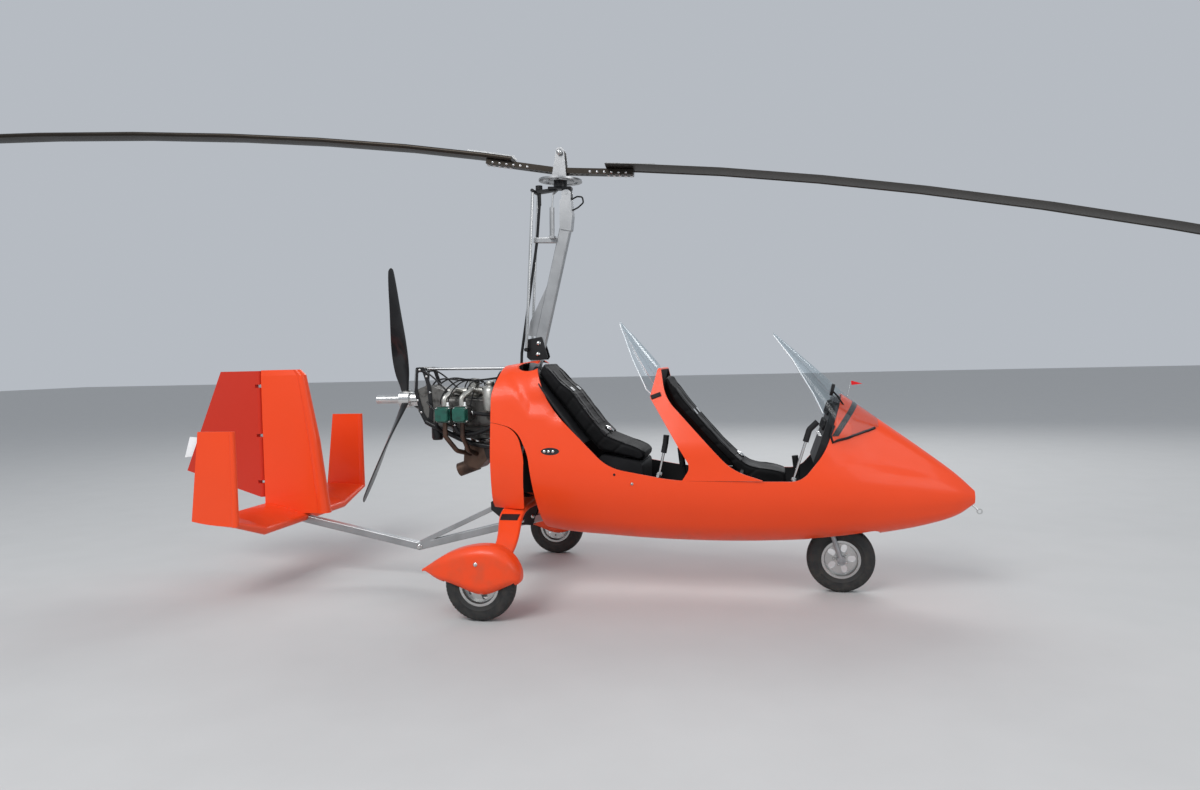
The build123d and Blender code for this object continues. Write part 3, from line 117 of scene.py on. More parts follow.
class Finish:
    """A material, with one method for each step of its recipe."""

    def __init__(self, name):
        self.material = bpy.data.materials.new(name)
        self.material.use_nodes = True
        self.tree = self.material.node_tree
        self.shader = self.tree.nodes["Principled BSDF"]

    def feed(self, socket, value):
        """Link a socket to another one, or set its constant."""
        if isinstance(value, bpy.types.NodeSocket):
            self.tree.links.new(value, socket)
        elif socket.type == "RGBA":
            socket.default_value = (*value, 1.0)
        else:
            socket.default_value = value

    def node(self, kind, inputs=None, **settings):
        node = self.tree.nodes.new(kind)
        for key, value in settings.items():
            setattr(node, key, value)
        for key, value in (inputs or {}).items():
            self.feed(node.inputs[key], value)
        return node

    def calc(self, operation, *values):
        return self.node("ShaderNodeMath", dict(enumerate(values)), operation=operation).outputs[0]

    def product(self, first, *others):
        for other in others:
            first = self.calc("MULTIPLY", first, other)
        return first

    def place(self):
        """The point on the object, in metres."""
        return self.node("ShaderNodeTexCoord").outputs["Object"]

    def split(self, vector):
        """The x, y and z of a vector."""
        return self.node("ShaderNodeSeparateXYZ", {0: vector}).outputs[:3]

    def noise(self, scale, detail=4.0, stretch=(1.0, 1.0, 1.0)):
        mapped = self.node("ShaderNodeMapping", {"Vector": self.place(), "Scale": stretch}).outputs[0]
        inputs = {"Vector": mapped, "Scale": scale, "Detail": detail}
        return self.node("ShaderNodeTexNoise", inputs).outputs[0]

    def ramp(self, value, low, high, to_low=0.0, to_high=1.0, kind="SMOOTHSTEP"):
        inputs = dict(enumerate((value, low, high, to_low, to_high)))
        return self.node("ShaderNodeMapRange", inputs, interpolation_type=kind).outputs[0]

    def mix(self, share, first, second):
        return self.node("ShaderNodeMix", {0: share, 6: first, 7: second}, data_type="RGBA").outputs[2]

    def relief(self, height, depth, under=None):
        """A bump normal from a height of 0 to 1, depth metres tall."""
        inputs = {"Strength": 1.0, "Distance": depth, "Height": height}
        if under is not None:
            inputs["Normal"] = under
        return self.node("ShaderNodeBump", inputs).outputs[0]

    def done(self, **values):
        for key, value in values.items():
            self.feed(self.shader.inputs[LABELS[key]], value)
        return self.material


# %% [markdown]
# The pod and tail are glass fibre with a gloss gelcoat sprayed in the
# mould: one strong orange, a clear hard shine, a faint orange peel, and
# darker brown patches towards the bottom. The rudder's orange is darker,
# as painted shade. The moulding is orange outside and black inside. Two
# materials on split faces would need the mesh cut, so the shader decides:
# where the surface faces the pod's middle line it shows the black lining.
# A black band runs up the nose along the windscreen's foot.

# %% Gelcoat
ORANGE = (0.93, 0.073, 0.012)
# The rudder's orange: the same orange made darker, as painted shade for a rudder turned away from the light
SHADED_ORANGE = (0.62, 0.028, 0.008)
LINING = (0.012, 0.012, 0.013)
# A darker brown, mixed in patches towards the bottom of the gelcoat
LOW_BROWN = (0.2, 0.11, 0.07)
MIDDLE_LINE, LINING_END = 0.66, 2.25
# The band lies where 0.82 x - 0.57 z is between two values, above a height
BAND_LOW, BAND_HIGH, BAND_FOOT = 0.759, 0.792, 0.955
# The seat fairing is black to this height between the cockpit's sides
FEET_HALF_WIDTH, FEET_HEIGHT = 0.335, 0.80


def facing_in(gel, y, z):
    """1 where the surface faces the pod's middle line, else 0."""
    _, normal_y, normal_z = gel.split(gel.node("ShaderNodeNewGeometry").outputs["Normal"])
    upward = gel.product(gel.calc("SUBTRACT", z, MIDDLE_LINE), normal_z)
    return gel.calc("LESS_THAN", gel.calc("ADD", gel.product(y, normal_y), upward), 0.0)


def gelcoat(name, color, lined=False, banded=False, black_feet=False):
    gel = Finish(name)
    x, y, z = gel.split(gel.place())
    tint = gel.mix(gel.noise(1.6, 2.0), tuple(c * 0.93 for c in color), color)
    # Darker brown patches towards the bottom: up to 30 percent below 0.46 m, in noise patches
    tone_patches = gel.product(gel.ramp(z, 0.46, 0.30), gel.ramp(gel.noise(9.0, 6.0), 0.35, 0.8), 0.3)
    tint = gel.mix(tone_patches, tint, LOW_BROWN)
    shine = gel.ramp(gel.noise(14.0, 5.0), 0.3, 0.7, 0.36, 0.44)
    coat = 0.14
    if banded:
        band = gel.calc("SUBTRACT", gel.product(x, 0.82), gel.product(z, 0.57))
        between = gel.product(gel.calc("GREATER_THAN", band, BAND_LOW), gel.calc("LESS_THAN", band, BAND_HIGH))
        tint = gel.mix(gel.product(between, gel.calc("GREATER_THAN", z, BAND_FOOT)), tint, LINING)
    if lined:
        inside = gel.product(facing_in(gel, y, z), gel.calc("LESS_THAN", x, LINING_END))
        if black_feet:
            narrow = gel.calc("LESS_THAN", gel.calc("ABSOLUTE", y), FEET_HALF_WIDTH)
            feet = gel.product(narrow, gel.calc("LESS_THAN", z, FEET_HEIGHT))
            inside = gel.calc("MAXIMUM", inside, feet)
        tint = gel.mix(inside, tint, LINING)
        shine = gel.calc("MAXIMUM", shine, gel.product(inside, 0.8))
        coat = gel.product(gel.calc("SUBTRACT", 1.0, inside), coat)
    peel = gel.relief(gel.noise(260.0, 1.0), 0.00006)
    return gel.done(color=tint, roughness=shine, normal=peel, coat=coat, coat_roughness=0.09, specular=0.3)


# %% [markdown]
# Metals come next. The mast and keel are anodised tube, drawn through a die,
# so fine lines run along them. Turned parts are brighter, castings are
# grainy, and the exhaust is browned by heat. Noise that is stretched along
# one direction gives the drawn lines, and fine noise gives the cast grain.

# %% Metals and plastics
def metal(name, color, roughness, grain=(3.0, 90.0, 90.0)):
    bare = Finish(name)
    lines = bare.noise(26.0, 5.0, grain)
    stain = bare.ramp(bare.noise(7.0, 4.0), 0.35, 0.7)
    tint = bare.mix(stain, color, tuple(c * 0.85 for c in color))
    rough = bare.ramp(lines, 0.3, 0.7, roughness * 0.8, roughness * 1.25)
    return bare.done(color=tint, roughness=rough, metallic=1.0, normal=bare.relief(lines, 0.00005))


def cast(name, color, roughness, metallic, depth=0.0006, grime=0.5):
    sand = Finish(name)
    patches = sand.ramp(sand.noise(24.0, 6.0), 0.45, 0.7)
    tint = sand.mix(patches, color, tuple(c * (1.0 - grime) for c in color))
    rough = sand.ramp(patches, 0.0, 1.0, roughness, min(roughness * 1.5, 0.95))
    grit = sand.relief(sand.noise(340.0, 3.0), depth)
    return sand.done(color=tint, roughness=rough, metallic=metallic, normal=grit)


def moulded(name, color, roughness, grain=420.0, depth=0.00025, coat=0.0):
    plastic = Finish(name)
    patches = plastic.noise(6.0, 5.0)
    lighter = tuple(min(c * 1.6 + 0.004, 1.0) for c in color)
    tint = plastic.mix(plastic.ramp(patches, 0.4, 0.75), color, lighter)
    rough = plastic.ramp(patches, 0.3, 0.7, roughness, roughness * 1.2)
    leather = plastic.relief(plastic.noise(grain, 2.0), depth)
    return plastic.done(color=tint, roughness=rough, normal=leather, coat=coat, specular=0.25)


def heat_browned(name):
    """Sheet steel: brown near the ports, straw and blue where it ran hot."""
    steel = Finish(name)
    clouds = steel.noise(11.0, 6.0)
    tint = steel.mix(steel.ramp(clouds, 0.3, 0.55), (0.052, 0.034, 0.028), (0.115, 0.07, 0.05))
    tint = steel.mix(steel.ramp(clouds, 0.62, 0.8), tint, (0.2, 0.15, 0.12))
    rough = steel.ramp(clouds, 0.3, 0.7, 0.55, 0.38)
    scale = steel.relief(steel.noise(190.0, 4.0), 0.0003)
    return steel.done(color=tint, roughness=rough, metallic=0.7, normal=scale)


def rubber(name):
    tread = Finish(name)
    tone_patches = tread.ramp(tread.noise(30.0, 6.0), 0.4, 0.75)
    tint = tread.mix(tone_patches, (0.014, 0.014, 0.014), (0.042, 0.039, 0.035))
    rough = tread.ramp(tone_patches, 0.0, 1.0, 0.62, 0.9)
    return tread.done(color=tint, roughness=rough, normal=tread.relief(tread.noise(600.0, 2.0), 0.0002))


def clear_sheet(name):
    """Blown clear sheet: see-through head on, mirror-like at a low angle,
    and a little milky from fine scratches. A mix of three plain shaders,
    because true glass would cast a black shadow."""
    sheet = Finish(name)
    sheet.tree.nodes.remove(sheet.shader)
    through = sheet.node("ShaderNodeBsdfTransparent", {"Color": (0.93, 0.955, 0.965)}).outputs[0]
    shine = sheet.node("ShaderNodeBsdfGlossy", {"Roughness": 0.12}).outputs[0]
    haze = sheet.node("ShaderNodeBsdfDiffuse", {"Color": (0.86, 0.9, 0.94)}).outputs[0]
    angle = sheet.node("ShaderNodeLayerWeight", {"Blend": 0.35}).outputs
    scratches = sheet.ramp(sheet.noise(40.0, 8.0, (1.0, 1.0, 0.15)), 0.45, 0.75, 0.001, 0.008)
    milky = sheet.calc("ADD", scratches, sheet.product(angle["Facing"], 0.012))
    clear = sheet.node("ShaderNodeMixShader", {0: milky, 1: through, 2: haze}).outputs[0]
    mirror = sheet.ramp(angle["Fresnel"], 0.0, 1.0, 0.003, 0.14, "LINEAR")
    both = sheet.node("ShaderNodeMixShader", {0: mirror, 1: clear, 2: shine}).outputs[0]
    sheet.feed(sheet.tree.nodes["Material Output"].inputs["Surface"], both)
    return sheet.material


def seat_cover(name):
    """Black coated cloth: fine pebble grain, soft folds and worn shine."""
    cloth = Finish(name)
    pebble = cloth.node("ShaderNodeTexVoronoi", {"Vector": cloth.place(), "Scale": 420.0}).outputs["Distance"]
    folds = cloth.relief(cloth.noise(17.0, 3.0, (1.0, 2.4, 1.0)), 0.004)
    wear = cloth.ramp(cloth.noise(5.0, 5.0), 0.45, 0.75)
    tint = cloth.mix(wear, (0.003, 0.003, 0.0034), (0.007, 0.007, 0.008))
    rough = cloth.ramp(wear, 0.0, 1.0, 0.66, 0.54)
    grain = cloth.relief(pebble, 0.0003, folds)
    return cloth.done(color=tint, roughness=rough, normal=grain, sheen=0.01, specular=0.16)


# %% [markdown]
# Now every engineering node gets its finish by the slot that it carries in
# the record. Pieces of one slot can still differ on the real machine: some
# metal pieces are blackened, the rotor's bar is grey like its blades, and
# the fairing between the seats is orange above and black below, so those
# are named.

# %% Dress the nodes
BLACK = (0.009, 0.009, 0.010)
finishes = {
    "orange_gloss": gelcoat("gelcoat_orange", ORANGE),
    # The rudder gets the darker orange: painted shade
    "rudder_red": gelcoat("gelcoat_orange_painted_shade", SHADED_ORANGE),
    "clear_screen": clear_sheet("clear_sheet"),
    "seat_black": seat_cover("seat_cover"),
    "panel_black": moulded("moulded_black", BLACK, 0.55),
    "bare_aluminium": metal("drawn_aluminium", (0.46, 0.465, 0.47), 0.36),
    "blade_grey": metal("blade_anodised", (0.05, 0.043, 0.036), 0.42, (90.0, 3.0, 90.0)),
    "prop_black": moulded("blade_composite", (0.011, 0.011, 0.012), 0.32, 900.0, 0.00004, 0.35),
    "polished_steel": metal("turned_steel", (0.72, 0.72, 0.71), 0.22, (60.0, 60.0, 60.0)),
    "engine_cast": cast("sand_casting", (0.17, 0.165, 0.155), 0.5, 0.85),
    "rocker_green": cast("green_enamel", (0.012, 0.10, 0.072), 0.36, 0.0, 0.0002, 0.45),
    "hot_steel": heat_browned("browned_steel"),
    "mount_black": moulded("powder_coat", (0.011, 0.011, 0.012), 0.36, 700.0, 0.0001, 0.12),
    "tyre_black": rubber("tyre_rubber"),
    "rim_silver": metal("machined_alloy", (0.62, 0.62, 0.61), 0.3, (40.0, 6.0, 40.0)),
    "fork_steel": cast("grey_paint", (0.36, 0.36, 0.37), 0.34, 0.6, 0.0001, 0.25),
    "tab_white": moulded("white_plate", (0.78, 0.79, 0.78), 0.4, 200.0, 0.00005),
    "lamp_dark": moulded("lamp_lens", (0.01, 0.01, 0.011), 0.06, 80.0, 0.00002, 1.0),
    "intake_pale": cast("pale_casting", (0.55, 0.54, 0.5), 0.36, 0.9, 0.0003, 0.3),
    "pod_lined": gelcoat("gelcoat_pod", ORANGE, lined=True, banded=True),
    "fairing_lined": gelcoat("gelcoat_fairing", ORANGE, lined=True, black_feet=True),
}
OWN_FINISH = dict.fromkeys(("frame_plates", "firewall", "gimbal_head", "prerotator"), "mount_black")
OWN_FINISH |= {"seat_fairing": "fairing_lined", "hub_bar": "blade_grey"}
SLOT_OF = {part["node"]: part["material_slot"] for part in frame["record"]["subparts"]}


def dress_nodes():
    for name, node in nodes.items():
        node.data.materials.clear()
        node.data.materials.append(finishes[OWN_FINISH.get(name, SLOT_OF[name])])
    print("finishes", len(finishes))


dress_nodes()

# %% [markdown]
# The pieces that follow are all meshes made from whole arrays of points, so
# each shape is one formula. These are the shared tools: joining a grid of
# points into faces, turning a profile about an axis, a flat ribbon along a
# line, a hexagon bolt, and a hose on a smooth curve.

# %% Mesh tools
SIDES = (1, -1)
LEFT_AND_RIGHT = (("left", 1), ("right", -1))
FLIP = np.array([1.0, -1.0, 1.0])
SHARP_ANGLE = math.radians(32)


def as_list(faces):
    return faces.tolist() if isinstance(faces, np.ndarray) else faces


def new_object(name, points, faces, material=None):
    mesh = bpy.data.meshes.new(name)
    mesh.from_pydata(np.asarray(points).reshape(-1, 3).tolist(), [], as_list(faces))
    if material is not None:
        mesh.materials.append(material)
    return link(name, mesh)


def settle(piece, body="airframe"):
    """Put a finished piece on its body."""
    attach(piece, body)
    return piece


def smooth_shade(mesh, sharp=False):
    mesh.polygons.foreach_set("use_smooth", np.ones(len(mesh.polygons), bool))
    if sharp:
        mesh.set_sharp_from_angle(angle=SHARP_ANGLE)


def add_piece(name, points, faces, slot, body="airframe", flat=False):
    piece = new_object(name, points, faces, finishes[slot])
    if not flat:
        smooth_shade(piece.data)
    return settle(piece, body)


def face_outwards(mesh):
    shape = bmesh.new()
    shape.from_mesh(mesh)
    bmesh.ops.recalc_face_normals(shape, faces=shape.faces)
    shape.to_mesh(mesh)
    shape.free()


def points_of(mesh):
    """All points of a mesh, as rows of x, y, z."""
    co = np.empty(len(mesh.vertices) * 3)
    mesh.vertices.foreach_get("co", co)
    return co.reshape(-1, 3)


def unit(vectors):
    return vectors / np.linalg.norm(vectors, axis=-1, keepdims=True)


def circle(count):
    """Angles of count even steps once round."""
    return np.arange(count) / count * 2 * np.pi


def grid_faces(rows, columns, wrapped=True):
    """Quads between neighbours in a grid, joined round the columns."""
    row = np.arange(rows - 1)[:, None] * columns
    column = np.arange(columns if wrapped else columns - 1)[None, :]
    after = (column + 1) % columns
    quads = np.stack([row + column, row + after, row + columns + after, row + columns + column], -1)
    return quads.reshape(-1, 4)


def capped_faces(rows, columns):
    """The grid's quads, and one face on its first ring and on its last."""
    last = (rows - 1) * columns
    ends = [list(range(columns))[::-1], list(range(last, last + columns))]
    return grid_faces(rows, columns).tolist() + ends


def joined(shapes):
    """The points and faces of several shapes as one shape."""
    points, faces, start = [], [], 0
    for some_points, some_faces in shapes:
        points.append(np.asarray(some_points).reshape(-1, 3))
        faces += [[index + start for index in face] for face in as_list(some_faces)]
        start += len(points[-1])
    return np.concatenate(points), faces


def side_axes(axes):
    """The axes, and two unit vectors across each, at right angles."""
    axes = unit(axes)
    helper = np.where(np.abs(axes[:, 2:3]) < 0.9, [[0.0, 0.0, 1.0]], [[1.0, 0.0, 0.0]])
    first = unit(np.cross(helper, axes))
    return axes, first, np.cross(axes, first)


def turned(profile, places, axes, sides, hexed=0.0):
    """A profile of (radius, height) turned about each place's axis. Where
    hexed is 1 the circle is drawn in to a hexagon: radius times cos 30
    degrees over the cosine of the angle from the middle of the flat."""
    profile = np.asarray(profile, float)
    places = np.atleast_2d(places)
    along, first, second = side_axes(np.broadcast_to(np.asarray(axes, float), places.shape))
    angle = circle(sides)
    squeeze = np.cos(np.pi / 6) / np.cos((angle + np.pi / 6) % (np.pi / 3) - np.pi / 6)
    share = np.broadcast_to(np.asarray(hexed, float), len(profile))[:, None]
    radius = profile[:, 0, None] * (1 + share * (squeeze - 1))
    around = np.cos(angle)[:, None] * first[:, None, None] + np.sin(angle)[:, None] * second[:, None, None]
    ring = radius[None, :, :, None] * around
    points = places[:, None, None] + profile[None, :, 1, None, None] * along[:, None, None] + ring
    step = np.arange(len(places))[:, None, None] * len(profile) * sides
    return points.reshape(-1, 3), (grid_faces(len(profile), sides) + step).reshape(-1, 4)


def add_turned(name, profile, places, axes, sides, slot, body="airframe"):
    return add_piece(name, *turned(profile, places, axes, sides), slot, body)


BOLT_PROFILE = [(0.2, 0.0), (1.35, 0.0), (1.35, 0.2), (1.0, 0.2), (1.0, 0.85), (0.84, 1.0), (0.02, 1.0)]
BOLT_HEXED = [0, 0, 0, 1, 1, 0, 0]


def add_bolts(name, places, axes, radius, slot="polished_steel", body="airframe"):
    points, faces = turned(np.array(BOLT_PROFILE) * radius, places, axes, 12, BOLT_HEXED)
    return add_piece(name, points, faces, slot, body)


def add_side_bolts(name, y, spots, radius, body="airframe"):
    """Bolts at spots (x, z) on both sides, y from the middle, facing out."""
    places = np.array([(x, side * y, z) for side in SIDES for x, z in spots])
    add_bolts(name, places, np.sign(places * [0, 1, 0]), radius, body=body)


def add_hoses(name, routes, radius, slot, wire=False, material=None):
    """Round hoses or straight wires, one spline for each route."""
    data = bpy.data.curves.new(name, "CURVE")
    data.dimensions = "3D"
    data.bevel_depth = radius
    data.bevel_resolution = 3
    data.resolution_u = 10
    data.use_fill_caps = True
    for route in routes:
        spline = data.splines.new("POLY" if wire else "NURBS")
        spline.points.add(len(route) - 1)
        spline.points.foreach_set("co", np.column_stack([route, np.ones(len(route))]).ravel())
        if not wire:
            spline.order_u = 4 if len(route) > 3 else 3
            spline.use_endpoint_u = True
    data.materials.append(material or finishes[slot])
    return settle(link(name, data))


def mirrored(routes):
    """Routes in millimetres, now in metres, and their mirror images."""
    routes = [np.array(route, float) / 1000 for route in routes]
    return routes + [route * FLIP for route in routes]


RIBBON_SECTION = np.array([(-0.5, 0.0), (-0.5, 0.6), (-0.44, 1.0), (0.44, 1.0), (0.5, 0.6), (0.5, 0.0)])


def add_ribbon(name, strips, width, thick, slot, body="airframe"):
    """Closed strips, each along a line of points and normals: across each
    point lie six points of a flat section with softened edges, width wide
    and standing thick above the line."""
    shapes = []
    for points, normals in strips:
        points, normals = np.asarray(points, float), np.asarray(normals, float)
        across = unit(np.cross(normals, np.gradient(points, axis=0)))
        grid = points[:, None] + across[:, None] * RIBBON_SECTION[:, :1] * width
        grid = grid + normals[:, None] * RIBBON_SECTION[:, 1:] * thick
        shapes.append((grid, capped_faces(len(points), len(RIBBON_SECTION))))
    return add_piece(name, *joined(shapes), slot, body, flat=True)


def skin_of(node):
    """A search tree of a node's or a piece's faces, hidden or not."""
    mesh = (nodes[node] if node in nodes else bpy.data.objects[node]).data
    return BVHTree.FromPolygons([v.co for v in mesh.vertices], [p.vertices[:] for p in mesh.polygons])


def along_line(line, count):
    """Evenly spaced points along a list of points."""
    line = np.array(line, float)
    run = np.concatenate([[0], np.cumsum(np.linalg.norm(np.diff(line, axis=0), axis=1))])
    steps = np.linspace(0, run[-1], count)
    return np.stack([np.interp(steps, run, column) for column in line.T], -1)


def on_side(tree, spots, side):
    """Points and normals where spots (x, z) land on a node's side, found by
    rays that come in level from that side."""
    points, normals = [], []
    for x, z in spots:
        hit, normal, _, _ = tree.ray_cast(Vector((x, side * 1.5, z)), Vector((0, -side, 0)))
        if hit is not None:
            points.append(hit)
            normals.append(normal if normal.y * side > 0 else -normal)
    return np.array(points), np.array(normals)


# %% [markdown]
# The pod is one smooth moulding, with soft creases pressed into its nose
# and cowl, and everything that shows in its gloss comes from its surface.
# So it is drawn afresh here from the same section table as the engineering
# model: at every x, six corner points are read from smooth curves, the
# corners are rounded, and the creases step the skin in. It could be cut to
# shape by hand, but cutting a closed shell with prisms gives exact rims.

# %% Pod surface
WALL = 0.010
ROUND_SHARE = 0.44
POD_START, POD_END, INNER_END = -0.430, 2.400, 2.31
# Columns: x, belly z, widest z, top z, half widths of belly, middle and top
POD_TABLE = np.array([
    (-430, 495, 800, 1404, 215, 345, 262),
    (-150, 385, 700, 1434, 225, 362, 268),
    (300, 336, 650, 1440, 230, 368, 262),
    (900, 314, 630, 1420, 228, 368, 245),
    (1400, 325, 630, 1345, 205, 350, 195),
    (1665, 344, 636, 1186, 180, 318, 130),
    (1881, 369, 632, 1030, 148, 262, 92),
    (2131, 418, 620, 846, 100, 182, 62),
    (2310, 478, 600, 704, 52, 100, 36),
    (2400, 540, 580, 616, 16, 30, 12),
]) / 1000
NOSE_CREASE = [(1.40, 0.93), (1.594, 0.862), (1.739, 0.802), (1.958, 0.742), (2.25, 0.68)]
COWL_CREASE = [(-0.43, 1.33), (-0.348, 1.306), (-0.287, 1.275), (-0.184, 1.141), (-0.003, 1.095), (0.2, 1.08)]
# Each crease: its line, its depth, where it starts and ends along x, and
# how far above the line the skin is pressed in
CREASES = [
    (np.array(NOSE_CREASE), 0.0065, (1.42, 1.62), (1.95, 2.20), 0.20),
    (np.array(COWL_CREASE), 0.020, (-0.38, -0.30), (-0.02, 0.20), 0.26),
]


def smoothstep(value, low, high):
    share = np.clip((value - low) / (high - low), 0, 1)
    return share * share * (3 - 2 * share)


def through(table, x):
    """Cubic curves through the table's columns, read at each x. The slope
    at a row is the mean of the slopes either side, so no curve overshoots
    by more than the table's own bends."""
    knots, values = table[:, 0], table[:, 1:]
    steps = np.diff(values, axis=0) / np.diff(knots)[:, None]
    slopes = np.concatenate([steps[:1], (steps[:-1] + steps[1:]) / 2, steps[-1:]])
    i = np.clip(np.searchsorted(knots, x, side="right") - 1, 0, len(knots) - 2)
    width = (knots[i + 1] - knots[i])[:, None]
    t = (x[:, None] - knots[i][:, None]) / width
    start = (1 + 2 * t) * (1 - t) ** 2 * values[i] + t * (1 - t) ** 2 * width * slopes[i]
    return start + t * t * (3 - 2 * t) * values[i + 1] + t * t * (t - 1) * width * slopes[i + 1]


def corner_sides(corners):
    """At each corner of closed outlines, the side in and the side out."""
    return corners - np.roll(corners, 1, axis=-2), np.roll(corners, -1, axis=-2) - corners


def round_corners(corners, runs, arc, straight=1):
    """Rounds each corner of closed outlines (..., n, 2). The arc from run
    before the corner to run after it is a rational quadratic curve whose
    weight is the cosine of half the turn, which is an exact circle."""
    into, out = map(unit, corner_sides(corners))
    weight = np.sqrt(np.clip((1 + (into * out).sum(-1)) / 2, 0, 1))[..., None, None]
    first = (corners - into * runs[..., None])[..., None, :]
    last = (corners + out * runs[..., None])[..., None, :]
    t = np.linspace(0, 1, arc)[:, None]
    a, b, c = (1 - t) ** 2, 2 * weight * t * (1 - t), t**2
    arcs = (a * first + b * corners[..., None, :] + c * last) / (a + b + c)
    t = np.linspace(0, 1, straight + 2)[1:-1, None]
    lines = last * (1 - t) + np.roll(first, -1, axis=-3) * t
    return np.concatenate([arcs, lines], axis=-2).reshape(*corners.shape[:-2], -1, 2)


def rounded(points, radii, arc):
    """One outline with its corners rounded to radii. An arc of a radius
    starts that radius times the tangent of half the turn from the corner."""
    corners = np.array(points, float)
    into, out = map(unit, corner_sides(corners))
    half_turn = np.arccos(np.clip((into * out).sum(-1), -1, 1)) / 2
    return round_corners(corners, np.broadcast_to(radii, len(corners)) * np.tan(half_turn), arc)


def pod_rings(x, inset, flare):
    """Pod outlines (x count, points, 3): belly, widest and top corners on
    both sides, each drawn in by inset, and rounded by a share of the
    shorter side next to it."""
    low, middle, high, half_low, half_middle, half_high = through(POD_TABLE, x).T
    right = np.stack([
        np.stack([half_low + flare - inset / 2, low + inset], -1),
        np.stack([half_middle - inset, middle], -1),
        np.stack([half_high - inset / 2, high - inset], -1),
    ], 1)
    corners = np.concatenate([right, right[:, ::-1] * [-1, 1]], 1)
    size = np.linalg.norm(corner_sides(corners)[1], axis=-1)
    rings = round_corners(corners, ROUND_SHARE * np.minimum(size, np.roll(size, 1, axis=1)), 12, 7)
    return np.concatenate([np.broadcast_to(x[:, None, None], rings[..., :1].shape), rings], -1)


def press_creases(points):
    """Steps the skin in above each crease line, most at the line and less
    higher up, and rounds the cowl's upper rear edge forward."""
    x, y, z = points[..., 0], points[..., 1], points[..., 2]
    for line, depth, starts, ends, reach in CREASES:
        over = z - np.interp(x, *line.T)
        step = smoothstep(over, -0.010, 0.016) * (1 - smoothstep(over, 0.03, reach))
        y = y - np.sign(y) * depth * step * smoothstep(x, *starts) * (1 - smoothstep(x, *ends))
    back = smoothstep(z, 1.20, 1.40) * (1 - smoothstep(x, -0.43, -0.26))
    return np.stack([x + 0.036 * back, y, z], -1)


def pod_shell(x_last, count, flare=0.0, creased=True):
    """A closed skin: outer rings, inner rings and a rim between them at the
    rear. At the front each has a cap, or a rim joins them if the inner
    rings reach as far as the outer ones."""
    x = np.linspace(POD_START, x_last, count)
    inner_x = x[x < INNER_END]
    shape = press_creases if creased else np.asarray
    outer, inner = shape(pod_rings(x, 0.0, flare)), shape(pod_rings(inner_x, WALL, flare))
    columns = outer.shape[1]
    start = len(x) * columns
    c = np.arange(columns)
    after = (c + 1) % columns
    lining = grid_faces(len(inner_x), columns)[:, ::-1] + start
    rim = np.stack([c, start + c, start + after, after], -1)
    faces = np.concatenate([grid_faces(len(x), columns), lining, rim]).tolist()
    tip, inner_tip = start - columns, start + (len(inner_x) - 1) * columns
    if len(inner_x) < len(x):
        faces += [(tip + c).tolist(), (inner_tip + c)[::-1].tolist()]
    else:
        faces += np.stack([tip + c, tip + after, inner_tip + after, inner_tip + c], -1).tolist()
    return np.concatenate([outer.reshape(-1, 3), inner.reshape(-1, 3)]), faces


# %% [markdown]
# A cutter is a prism: an outline pulled out level to both sides, or
# upright. Exact booleans leave clean rims, and their result is kept as a
# plain mesh, so that later steps can read its points.

# %% Cutting tools
def add_prism(outline, low, high, upright=False):
    """A closed prism of a rounded outline: (x, z) along y, or (x, y) up."""
    count = len(outline)
    levels = np.repeat([low, high], count)
    columns = [*np.tile(outline, (2, 1)).T]
    columns.insert(2 if upright else 1, levels)
    cutter = new_object("cutter", np.column_stack(columns), capped_faces(2, count))
    face_outwards(cutter.data)
    return cutter


def cut_with(piece, cutters, operation="DIFFERENCE"):
    for number, cutter in enumerate(cutters):
        step = piece.modifiers.new(f"cut_{number}", "BOOLEAN")
        step.operation = operation
        step.solver = "EXACT"
        step.object = cutter
    done = piece.evaluated_get(bpy.context.evaluated_depsgraph_get())
    piece_mesh = bpy.data.meshes.new_from_object(done)
    piece.modifiers.clear()
    piece.data = piece_mesh
    for cutter in cutters:
        bpy.data.objects.remove(cutter)
    smooth_shade(piece_mesh, sharp=True)
    print(piece.name, len(piece_mesh.polygons), "faces")


def oval(x, z, long, high, count=48):
    angle = circle(count)
    return np.stack([x + long * np.cos(angle), z + high * np.sin(angle)], -1)


def box_outline(x_first, x_last, low, high, radius, arc):
    return rounded([(x_first, low), (x_last, low), (x_last, high), (x_first, high)], radius, arc)


# %% [markdown]
# The cuts: the two cockpits from one side outline, the lower rear quarter,
# the nose wheel's well, the mast's slot and its side window, the keel's way
# through the floor and the two oval lamp seats. The quarter panels are the
# same skin again, a little fuller at the foot, kept only inside their own
# outline.

# %% Pod and quarter panels
COCKPIT = rounded(
    [(-0.215, 1.520), (-0.061, 1.150), (0.300, 0.786), (0.698, 0.712), (1.418, 0.707), (1.559, 0.875),
     (1.700, 1.310), (1.500, 1.700), (0.000, 1.700)],
    [0.005, 0.500, 0.300, 1.300, 0.130, 0.400, 0.005, 0.005, 0.005], 20,
)
TUB_END = rounded(
    [(-0.113, 0.300), (-0.157, 0.593), (-0.190, 0.860), (-0.262, 1.020), (-0.420, 1.059), (-0.700, 1.061),
     (-0.700, 0.300)],
    [0.005, 0.900, 0.260, 0.160, 0.300, 0.005, 0.005], 16,
)
PANEL = rounded(
    [(-0.225, 0.530), (-0.216, 0.840), (-0.262, 1.017), (-0.418, 1.056), (-0.470, 1.056), (-0.470, 0.532)],
    [0.014, 0.300, 0.150, 0.200, 0.004, 0.030], 16,
)
MAST_SLOT = box_outline(-0.347, -0.141, -0.055, 0.055, 0.05, 8)
WELL = box_outline(1.440, 1.868, -0.140, 0.140, 0.06, 8)
KEEL_WAY = box_outline(-0.230, -0.070, 0.373, 0.463, 0.002, 3)
MAST_WINDOW = oval(-0.222, 1.392, 0.072, 0.026)
LAMP_SEAT = oval(-0.049, 0.883, 0.0573, 0.0223)
PANEL_END, PANEL_FLARE = -0.150, 0.085
